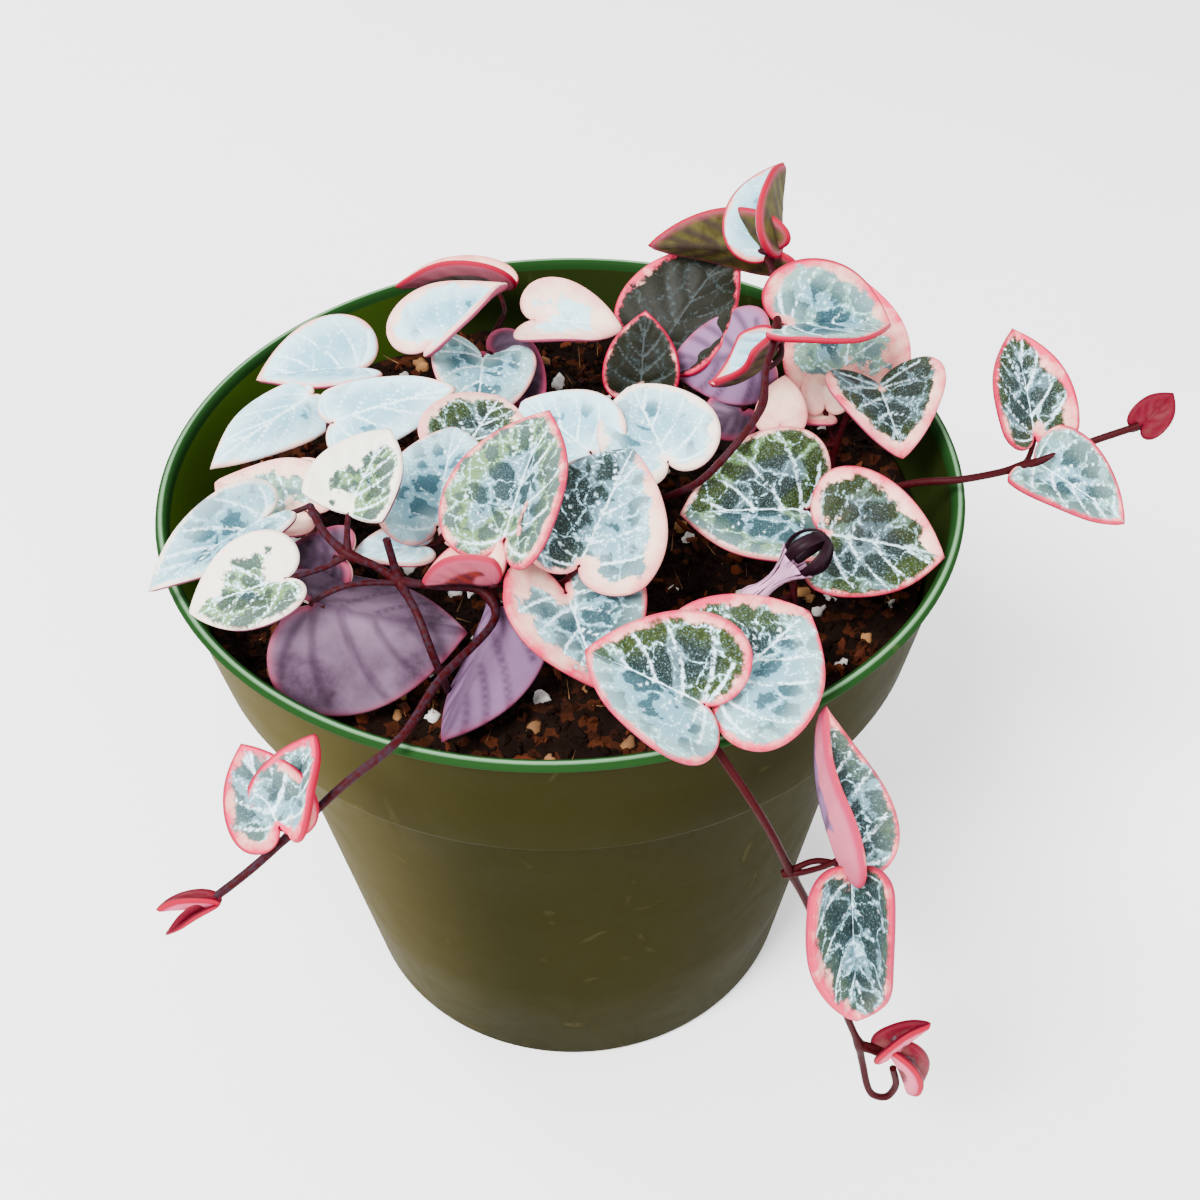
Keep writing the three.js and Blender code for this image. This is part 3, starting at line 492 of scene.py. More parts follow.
# The main veins of that half, in the same units: the midrib and five side veins.
VEINS = [
    [(0, 0), (0, 0.5), (0, 1)],
    [(0, 0.02), (0.16, -0.1), (0.36, -0.06)],
    [(0, 0.03), (0.24, 0.05), (0.47, 0.25)],
    [(0, 0.18), (0.2, 0.28), (0.41, 0.58)],
    [(0, 0.4), (0.14, 0.5), (0.27, 0.78)],
    [(0, 0.63), (0.07, 0.72), (0.13, 0.9)],
]


def unit(vector):
    return vector / np.linalg.norm(vector)


def leaf_frame(leaf):
    """Base, chord, and the directions along the leaf, out of its face, and to its right."""
    base = np.array(leaf["base"], float)
    along = np.array(leaf["tip"], float) - base
    chord = np.linalg.norm(along)
    along /= chord
    level = unit(np.array([0, 0, 1]) - along * along[2])
    roll = math.radians(leaf["roll"])
    face = level * math.cos(roll) + np.cross(along, level) * math.sin(roll)
    return base, chord, along, face, np.cross(along, face)


def leaf_surface(leaf, outline):
    """The points of a leaf's middle surface at points of its flat outline."""
    base, chord, along, face, side = leaf_frame(leaf)
    fold, cup, arch = [math.radians(leaf[key]) for key in ("fold", "cup", "arch")]
    broad = leaf["broad"]
    across, up = outline[:, 0], outline[:, 1]
    up = np.where(up < 0, up * leaf["deep"], up)
    length = chord * (arch / 2) / math.sin(arch / 2)
    here = arch / 2 - arch * up
    runs = length / arch * (math.sin(arch / 2) - np.sin(here))
    rises = length / arch * (np.cos(here) - math.cos(arch / 2))
    width = np.abs(across) * length * broad
    mean = fold + cup / 2 * width / (LEAF_SHOULDER * length * broad)
    out = width * np.cos(mean) * np.sign(across)
    lift = width * np.sin(mean)
    return (base + np.outer(runs - lift * np.sin(here), along)
            + np.outer(rises + lift * np.cos(here), face) + np.outer(out, side))


def distance_to(lines, points):
    """How far each point is from the nearest of several rows of points."""
    rows = np.vstack(lines)
    return np.sqrt(((points[:, None, :] - rows[None, :, :]) ** 2).sum(2)).min(1)


def step(low, high, value):
    """A smooth rise from 0 to 1 between two values, or a fall where the first is the higher."""
    share = np.clip((value - low) / (high - low), 0, 1)
    return share * share * (3 - 2 * share)


# What a leaf has unless its look or the leaf itself says otherwise. Its shape: roll about its length,
# fold at the midrib, cup of its sides and arch along it, in degrees; broad, and deep in its lobes.
# Its colours: pale, silver against dark, and below 0 painted nearly black, as painted shade on leaves
# that lie in shadow; lean, how much paler the right half is painted, as painted light on the half that
# faces the light; olive, green near the edge; left, right, heel and toe, how wide the cream margin is
# there, in mm; pink, of the margin; red, of the very edge, and above 1 of the whole leaf; under, mauve
# at 0, olive-brown at 1 or red at 2 underneath; bloom, the pale wax there; fine, how small its pattern
# is.
PLAIN_LEAF = dict(roll=0, fold=12, cup=10, arch=15, broad=1, deep=1, fine=1, lean=0, left=0.3, right=0.3,
                  heel=0.2, toe=0.2, under=0, bloom=0)
LOOKS = {
    "marbled": dict(pale=0.25, olive=0.45, pink=0.8, red=0.6),
    "silver": dict(pale=0.6, olive=0.2, pink=0.4, red=0.2),
    "mint": dict(pale=0.85, olive=0.1, heel=0.3, toe=0.3, pink=0.25, red=0.1),
    "cream": dict(pale=0.4, olive=0.8, left=2.6, right=2.6, heel=1.6, toe=1.2, pink=0.4, red=0.2),
    "dark": dict(pale=0.05, olive=0.5, left=0.5, right=0.5, heel=0.3, toe=0.3, pink=0.9, red=0.7,
                 under=0.3),
    "red": dict(pale=0.3, olive=0.3, left=0.8, right=0.8, heel=0.6, toe=0.6, pink=1, red=1, under=0.5),
}


def heart(stalk, base, tip, look, **own):
    """A leaf: where its stalk leaves the stem, where its blade begins and ends, and how it looks."""
    return {"stalk": stalk, "base": base, "tip": tip, **PLAIN_LEAF, **LOOKS[look], **own}


def heart_grid():
    """A flat heart in rings from the midrib out: its points, its faces, and which points are its edge."""
    rib = np.where(HALF_OUTLINE[:, 1] > 0, 0.88 * HALF_OUTLINE[:, 1] + 0.12 * HALF_OUTLINE[:, 1] ** 8, 0)
    flat = np.vstack([
        np.stack([HALF_OUTLINE[:, 0] * share * hand, rib + (HALF_OUTLINE[:, 1] - rib) * share], 1)
        for hand in (1, -1) for share in LEAF_RINGS])
    _, first, where = np.unique(np.round(flat, 5), axis=0, return_index=True, return_inverse=True)
    hands = where.reshape(2, len(LEAF_RINGS), len(HALF_OUTLINE))
    faces = []
    for rings, turn in zip(hands, (1, -1)):
        for near, far in zip(rings, rings[1:]):
            for at in range(len(near) - 1):
                corners = [near[at], far[at], far[at + 1], near[at + 1]]
                kept = [corner for place, corner in enumerate(corners) if corner != corners[place - 1]]
                if len(kept) > 2:
                    faces.append(kept[::turn])
    rim = np.zeros(len(first), bool)
    rim[hands[:, -1]] = True
    return flat[first], faces, rim


HEART = heart_grid()


def leaf_blade(leaf, seed):
    """A leaf's two skins as points, faces, the skin of each face, and the values its materials read."""
    flat, faces, rim = HEART
    size = len(flat)
    chord = leaf_frame(leaf)[1]
    scale = np.array([chord * leaf["broad"], chord])
    half = np.stack([np.abs(flat[:, 0]), flat[:, 1]], 1) * scale
    edge_line = HALF_OUTLINE * scale
    fine = [edge_line[:-1] + (edge_line[1:] - edge_line[:-1]) * share for share in (0, 0.25, 0.5, 0.75)]
    margin = distance_to(fine + [edge_line[-1:]], half)
    margin[rim] = 0
    draw = np.random.default_rng(seed)
    moves = draw.normal(0, 0.02, (len(VEINS), 2))
    lines = [bezier([(x + (move[0] if x else 0), y + (move[1] if x else 0)) for x, y in vein], VEIN_STEPS)
             * scale for vein, move in zip(VEINS, moves)]
    vein = distance_to(lines, half)
    middle = leaf_surface(leaf, flat)
    normals = np.zeros_like(middle)
    for face in faces:
        for b, c in zip(face[1:], face[2:]):
            corners = [face[0], b, c]
            normals[corners] += np.cross(middle[b] - middle[face[0]], middle[c] - middle[face[0]])
    normals /= np.linalg.norm(normals, axis=1)[:, None] + 1e-12
    # The edge waves a little, the veins lie in grooves, and a small leaf is thinner.
    angle = np.arctan2(flat[:, 0], flat[:, 1] - 0.35)
    out = np.clip(1 - margin / (0.3 * chord), 0, 1)
    wave = EDGE_WAVE * chord * out ** 2 * np.sin(3 * angle + 6 * draw.random())
    middle = middle + normals * wave[:, None]
    half_thick = LEAF_THICK / 2 * np.sqrt(1 - (1 - np.clip(margin / EDGE_ROUND, 0, 1)) ** 2)
    half_thick *= min(1, chord / FULL_THICK_CHORD)
    groove = VEIN_GROOVE * np.exp(-(vein / VEIN_HALF) ** 2) - FIELD_RISE * step(0.5, 2.2, vein)
    groove *= step(0, 1.6, margin)
    upper = middle + normals * (half_thick - groove)[:, None]
    lower = middle - normals * (half_thick + 0.6 * groove)[:, None]
    inner = np.flatnonzero(~rim)
    lower_index = np.arange(size)
    lower_index[inner] = size + np.arange(len(inner))
    points = np.vstack([upper, lower[inner]])
    all_faces = faces + [[lower_index[corner] for corner in face[::-1]] for face in faces]
    skins = [0] * len(faces) + [1] * len(faces)
    rightness = step(-0.12, 0.12, flat[:, 0])
    width = (leaf["left"] + (leaf["right"] - leaf["left"]) * rightness
             + leaf["heel"] * step(0.15, -0.1, flat[:, 1]) + leaf["toe"] * step(0.7, 1, flat[:, 1]))
    values = {
        "blade": np.stack([flat[:, 0] * scale[0], flat[:, 1] * scale[1], np.full(size, 7.3 * seed)], 1)
        * leaf["fine"],
        "edge": np.stack([margin, width, np.full(size, leaf["pink"])], 1),
        # The right half is painted paler by lean: painted light on the half that faces the light.
        "tone": np.stack([
            leaf["pale"] + leaf["lean"] * (rightness - 0.5),
            np.full(size, leaf["olive"]), np.full(size, leaf["red"])], 1),
        "rib": np.stack([vein, np.full(size, leaf["under"]), np.full(size, leaf["bloom"])], 1),
    }
    values = {key: np.vstack([value, value[inner]]) for key, value in values.items()}
    return points, all_faces, skins, values


def smooth_path(points, spacing):
    """Points about a spacing apart on a centripetal Catmull-Rom curve through the given ones."""
    points = np.array(points, float)
    ends = np.vstack([2 * points[0] - points[1], points, 2 * points[-1] - points[-2]])
    path = []
    for at in range(len(points) - 1):
        p = ends[at:at + 4]
        knots = np.concatenate([[0], np.cumsum(np.linalg.norm(p[1:] - p[:-1], axis=1) ** 0.5)])
        count = max(2, int(np.linalg.norm(p[2] - p[1]) / spacing))
        for t in knots[1] + (knots[2] - knots[1]) * np.arange(count) / count:
            a = [((knots[i + 1] - t) * p[i] + (t - knots[i]) * p[i + 1]) / (knots[i + 1] - knots[i])
                 for i in range(3)]
            b = [((knots[i + 2] - t) * a[i] + (t - knots[i]) * a[i + 1]) / (knots[i + 2] - knots[i])
                 for i in range(2)]
            path.append(((knots[2] - t) * b[0] + (t - knots[1]) * b[1]) / (knots[2] - knots[1]))
    path.append(points[-1])
    return np.array(path)


def stalk_path(leaf):
    """The way of a leaf's stalk from the stem into the midrib, a little below the face."""
    base, chord, along, face, _ = leaf_frame(leaf)
    start = np.array(leaf["stalk"], float)
    reach = np.linalg.norm(start - base)
    bend = (start + base) / 2 - 0.12 * reach * (along + face)
    way = [start, bend, base - 0.2 * face, base + 0.09 * chord * along - 0.25 * face]
    return smooth_path(way, STALK_STEP)


def stem_tree():
    """Sweeps a round section along a vine's paths, by their radius, and joins it to the blades."""
    tree, given = new_tree("stems_along_paths", Paths="Object", Sides="Int", Unevenness="Float",
                           Skin="Material")
    paths = node(tree, "GeometryNodeObjectInfo", {"Object": given["Paths"]})
    lines = node(tree, "GeometryNodeMeshToCurve", {"Mesh": paths.outputs["Geometry"]})
    thick = node(tree, "GeometryNodeInputNamedAttribute", {"Name": "thick"}, data_type="FLOAT")
    place = node(tree, "GeometryNodeInputPosition")
    bumps = node(tree, "ShaderNodeTexNoise", {"Vector": place, "Scale": 900})
    about = node(tree, "ShaderNodeMath", {0: bumps, 1: 0.5}, operation="SUBTRACT")
    swell = node(tree, "ShaderNodeMath", {
        0: about, 1: given["Unevenness"], 2: 1}, operation="MULTIPLY_ADD")
    scale = node(tree, "ShaderNodeMath", {0: thick, 1: swell}, operation="MULTIPLY")
    section = node(tree, "GeometryNodeCurvePrimitiveCircle", {
        "Resolution": given["Sides"], "Radius": 1})
    tube = node(tree, "GeometryNodeCurveToMesh", {
        "Curve": lines, "Profile Curve": section,
        "Scale": scale, "Fill Caps": True})
    soft = node(tree, "GeometryNodeSetShadeSmooth", {"Geometry": tube})
    skin = node(tree, "GeometryNodeSetMaterial", {"Geometry": soft, "Material": given["Skin"]})
    joined = node(tree, "GeometryNodeJoinGeometry", {0: [given["Geometry"], skin]})
    whole = node(tree, "GeometryNodeRealizeInstances", {0: joined})
    node(tree, "NodeGroupOutput", {"Geometry": whole})
    return tree


def leaf_inputs(tree):
    """What leaf_blade wrote on the mesh: the flat place, and the three parts of edge, tone and rib."""
    blade, *rest = [node(tree, "ShaderNodeAttribute", attribute_name=name).outputs["Vector"]
                    for name in ("blade", "edge", "tone", "rib")]
    return blade, *[node(tree, "ShaderNodeSeparateXYZ", {0: value}).outputs for value in rest]


def variegated_leaf_face():
    # The waxy upper skin of a succulent leaf: satin, with dark islands in a silver net,
    # green towards the edge, and a cream and pink margin where the leaf has no green.
    material, tree = new_material("variegated_leaf_face")
    blade, edge, tone, rib = leaf_inputs(tree)
    # Blade coordinates are in mm. The islands are about 3 mm, their ragged edges 0.4 mm, the dots 0.2 mm.
    drift, ragged, dots, patches, sway = [
        node(tree, "ShaderNodeTexNoise", {
            "Vector": blade, "Scale": scale, "Detail": detail, "Roughness": roughness})
        for scale, detail, roughness in [
            (0.7, 3, 0.5), (2.2, 4, 0.7), (4.5, 2, 0.6), (0.22, 2, 0.5), (0.3, 4, 0.6)]]
    rough, fading, swayed = [
        node(tree, "ShaderNodeMath", {0: noises, 1: 0.5}, operation="SUBTRACT")
        for noises in (ragged, patches, sway)]
    bent = node(tree, "ShaderNodeVectorMath", {
        0: drift.outputs["Color"], 1: (2.6, 2.6, 0), 2: blade}, operation="MULTIPLY_ADD")
    cells = node(tree, "ShaderNodeTexVoronoi", {
        "Vector": bent, "Scale": 0.25}, feature="DISTANCE_TO_EDGE").outputs["Distance"]
    # How far a spot lies inside an island, less what the noise eats and what a pale leaf lacks.
    lines = node(tree, "ShaderNodeMath", {0: rough, 1: 0.3, 2: cells}, operation="MULTIPLY_ADD")
    ribs = node(tree, "ShaderNodeMapRange", {
        "Value": rib["X"], 1: 0, 2: 1, 3: -0.1, 4: 0}, interpolation_type="SMOOTHSTEP")
    ribbed = node(tree, "ShaderNodeMath", {0: lines, 1: ribs}, operation="ADD")
    fade = node(tree, "ShaderNodeMath", {0: fading, 1: 0.6, 2: ribbed}, operation="MULTIPLY_ADD")
    light = node(tree, "ShaderNodeMapRange", {"Value": tone["X"]})
    pallor = node(tree, "ShaderNodeMath", {0: light, 1: light}, operation="MULTIPLY")
    lack = node(tree, "ShaderNodeMath", {0: pallor, 1: -0.38, 2: fade}, operation="MULTIPLY_ADD")
    island = node(tree, "ShaderNodeMapRange", {
        "Value": lack, 1: 0.0, 2: 0.06}, interpolation_type="SMOOTHSTEP")
    # Green near the edge.
    inward = node(tree, "ShaderNodeMath", {0: edge["X"], 1: edge["Y"]}, operation="SUBTRACT")
    near = node(tree, "ShaderNodeMapRange", {"Value": inward, 1: 4.2, 2: 0.8})
    olive_at = node(tree, "ShaderNodeMath", {0: near, 1: patches}, operation="MULTIPLY")
    olive_share = node(tree, "ShaderNodeMath", {0: olive_at, 1: tone["Y"]}, operation="MULTIPLY")
    olive = node(tree, "ShaderNodeMapRange", {
        "Value": olive_share, 1: 0.05, 2: 0.22}, interpolation_type="SMOOTHSTEP")
    mossy = node(tree, "ShaderNodeMath", {0: olive, 1: tone["Y"]}, operation="MULTIPLY", use_clamp=True)
    depth = node(tree, "ShaderNodeMapRange", {"Value": ragged, 1: 0.4, 2: 0.7})
    teal, moss = [
        node(tree, "ShaderNodeMix", {0: depth, 6: deep, 7: shallow}, data_type="RGBA")
        for deep, shallow in [("#161d1b", "#2a3532"), ("#1f270c", "#37431d")]]
    flesh = teal
    for share, coat in [(olive, moss), (pallor, "#4f8698")]:
        flesh = node(tree, "ShaderNodeMix", {0: share, 6: flesh, 7: coat}, data_type="RGBA")
    # Silver: a haze round the islands, fine dots in them, and the net and the veins over them.
    dotted = node(tree, "ShaderNodeMapRange", {"Value": dots, 1: 0.56, 2: 0.72, 4: 0.38})
    plain = node(tree, "ShaderNodeMath", {0: pallor, 1: -0.8, 2: 1}, operation="MULTIPLY_ADD")
    dusted = node(tree, "ShaderNodeMath", {0: dotted, 1: plain}, operation="MULTIPLY")
    net = node(tree, "ShaderNodeMapRange", {
        "Value": lines, 1: 0.03, 2: -0.02}, interpolation_type="SMOOTHSTEP")
    netted = node(tree, "ShaderNodeMath", {0: net, 1: 0.9}, operation="MULTIPLY")
    outer = node(tree, "ShaderNodeMapRange", {
        "Value": inward, 1: 3.5, 2: 0.4, 4: 0.85}, interpolation_type="SMOOTHSTEP")
    frost = node(tree, "ShaderNodeMath", {0: outer, 1: pallor}, operation="MULTIPLY")
    vein_at = node(tree, "ShaderNodeMath", {0: rough, 1: 0.9, 2: rib["X"]}, operation="MULTIPLY_ADD")
    vein = node(tree, "ShaderNodeMapRange", {
        "Value": vein_at, 1: 0.3, 2: 0.06, 4: 0.95}, interpolation_type="SMOOTHSTEP")
    # A leaf whose pale is below 0 is painted nearly black: painted shade for a leaf that lies in shadow.
    painted_shade = node(tree, "ShaderNodeMapRange", {"Value": tone["X"], 1: 0, 2: -1})
    painted_shade_share = node(tree, "ShaderNodeMath", {0: painted_shade, 1: 0.96}, operation="MULTIPLY")
    # The margin: a ragged band, cream inside and pink towards the edge.
    wide = node(tree, "ShaderNodeMath", {0: edge["Y"], 1: 2, 2: 1}, operation="MULTIPLY_ADD")
    shift = node(tree, "ShaderNodeMath", {0: swayed, 1: wide}, operation="MULTIPLY")
    band_at = node(tree, "ShaderNodeMath", {0: shift, 1: 1.3, 2: inward}, operation="MULTIPLY_ADD")
    band_rough = node(tree, "ShaderNodeMath", {0: rough, 1: 1.2, 2: band_at}, operation="MULTIPLY_ADD")
    band = node(tree, "ShaderNodeMapRange", {
        "Value": band_rough, 1: 0.25, 2: -0.35}, interpolation_type="SMOOTHSTEP")
    inner_pink = node(tree, "ShaderNodeMath", {0: edge["Z"], 1: 0.7}, operation="MULTIPLY")
    outward = node(tree, "ShaderNodeMapRange", {
        "Value": edge["X"], 1: 1.6, 2: 0.1, 3: inner_pink, 4: 1.1}, interpolation_type="SMOOTHSTEP")
    flush = node(tree, "ShaderNodeMath", {0: swayed, 1: 3, 2: outward}, operation="MULTIPLY_ADD")
    rosy = node(tree, "ShaderNodeMath", {0: flush, 1: edge["Z"]}, operation="MULTIPLY", use_clamp=True)
    warmth = node(tree, "ShaderNodeMapRange", {"Value": edge["Z"], 1: 0, 2: 0.5})
    cream = "#e9ecdc"
    for share, coat in [(warmth, "#f2c3ae"), (rosy, "#cf3254")]:
        cream = node(tree, "ShaderNodeMix", {0: share, 6: cream, 7: coat}, data_type="RGBA")
    # The very edge is a thin line of pink to red, and a young leaf is red all over.
    line = node(tree, "ShaderNodeMapRange", {"Value": edge["X"], 1: 0.32, 2: 0.1})
    red = node(tree, "ShaderNodeMath", {0: line, 1: tone["Z"]}, operation="MULTIPLY")
    blush = node(tree, "ShaderNodeMapRange", {"Value": tone["Z"], 1: 1, 2: 2})
    # From the haze up: moss, islands, dots, net, frost, veins, a painted shade of near black, margin,
    # edge and blush.
    tint = "#4a5f66"
    for share, coat in [
            (light, "#84bfd2"), (mossy, "#58753c"), (island, flesh), (dusted, "#8fb8c4"),
            (netted, "#b4e2f0"), (frost, "#c6ecf4"), (vein, "#d4f0fa"), (painted_shade_share, "#13120a"),
            (band, cream), (red, "#94052f"), (blush, "#4c0616")]:
        tint = node(tree, "ShaderNodeMix", {0: share, 6: tint, 7: coat}, data_type="RGBA")
    relief = node(tree, "ShaderNodeMath", {0: cells, 1: ragged}, operation="ADD")
    finish_material(tree, tint, 0.45, 0.08, relief, 0.25, 0.0002)
    return material


def mauve_leaf_underside():
    # The matt underside of the leaf: mauve with darker veins, olive-brown on the oldest leaves,
    # crimson on the youngest, and pink where the face has its cream margin.
    material, tree = new_material("mauve_leaf_underside")
    blade, edge, tone, rib = leaf_inputs(tree)
    clouds = node(tree, "ShaderNodeTexNoise", {
        "Vector": blade, "Scale": 0.5, "Detail": 5, "Roughness": 0.6})
    spread = node(tree, "ShaderNodeMapRange", {"Value": clouds, 1: 0.3, 2: 0.7})
    broad = node(tree, "ShaderNodeTexNoise", {"Vector": blade, "Scale": 0.11, "Detail": 2})
    waxy = node(tree, "ShaderNodeMapRange", {"Value": broad, 1: 0.45, 2: 0.68, 4: 0.75})
    grape, brown = [
        node(tree, "ShaderNodeMix", {0: spread, 6: deep, 7: shallow}, data_type="RGBA")
        for deep, shallow in [("#32232f", "#523e51"), ("#362e15", "#524e26")]]
    flushed = node(tree, "ShaderNodeMapRange", {"Value": rib["Y"], 1: 1, 2: 2})
    vein = node(tree, "ShaderNodeMapRange", {
        "Value": rib["X"], 1: 0.9, 2: 0, 4: 0.6}, interpolation_type="SMOOTHSTEP")
    inward = node(tree, "ShaderNodeMath", {0: edge["X"], 1: edge["Y"]}, operation="SUBTRACT")
    clouded = node(tree, "ShaderNodeMath", {0: clouds, 1: 1.5, 2: inward}, operation="MULTIPLY_ADD")
    bare = node(tree, "ShaderNodeMapRange", {
        "Value": clouded, 1: 1.1, 2: 0.3}, interpolation_type="SMOOTHSTEP")
    blank = node(tree, "ShaderNodeMath", {0: bare, 1: edge["Z"]}, operation="MULTIPLY")
    rosy = node(tree, "ShaderNodeMapRange", {"Value": edge["X"], 1: 1.3, 2: 0.1})
    rosed = node(tree, "ShaderNodeMath", {0: rosy, 1: edge["Z"]}, operation="MULTIPLY")
    line = node(tree, "ShaderNodeMapRange", {"Value": edge["X"], 1: 0.6, 2: 0.2})
    red = node(tree, "ShaderNodeMath", {0: line, 1: tone["Z"]}, operation="MULTIPLY")
    tint = grape
    for share, coat in [
            (waxy, "#735d72"), (rib["Z"], "#836186"), (rib["Y"], brown), (flushed, "#6e0a18"),
            (vein, "#241524"), (blank, "#bb5a70"), (rosed, "#a5305a"), (red, "#8a0124")]:
        tint = node(tree, "ShaderNodeMix", {0: share, 6: tint, 7: coat}, data_type="RGBA")
    finish_material(tree, tint, 0.6, 0.08, clouds, 0.3, 0.0003)
    return material


def bloomy_stem_skin():
    # The dark red skin of a runner under a thin waxy bloom: dull lilac-grey with red at the joints.
    material, tree = new_material("bloomy_stem_skin")
    place = node(tree, "ShaderNodeTexCoord").outputs["Object"]
    dust = node(tree, "ShaderNodeAttribute", attribute_name="dust").outputs["Fac"]
    specks = node(tree, "ShaderNodeTexNoise", {"Vector": place, "Scale": 1600, "Detail": 3})
    spread = node(tree, "ShaderNodeMapRange", {"Value": specks, 1: 0.42, 2: 0.62})
    dusty = node(tree, "ShaderNodeMath", {0: spread, 1: dust}, operation="MULTIPLY")
    tint = node(tree, "ShaderNodeMix", {0: dusty, 6: "#2c0407", 7: "#281b25"}, data_type="RGBA")
    finish_material(tree, tint, 0.5, 0.05, specks, 0.3, 0.0002)
    return material


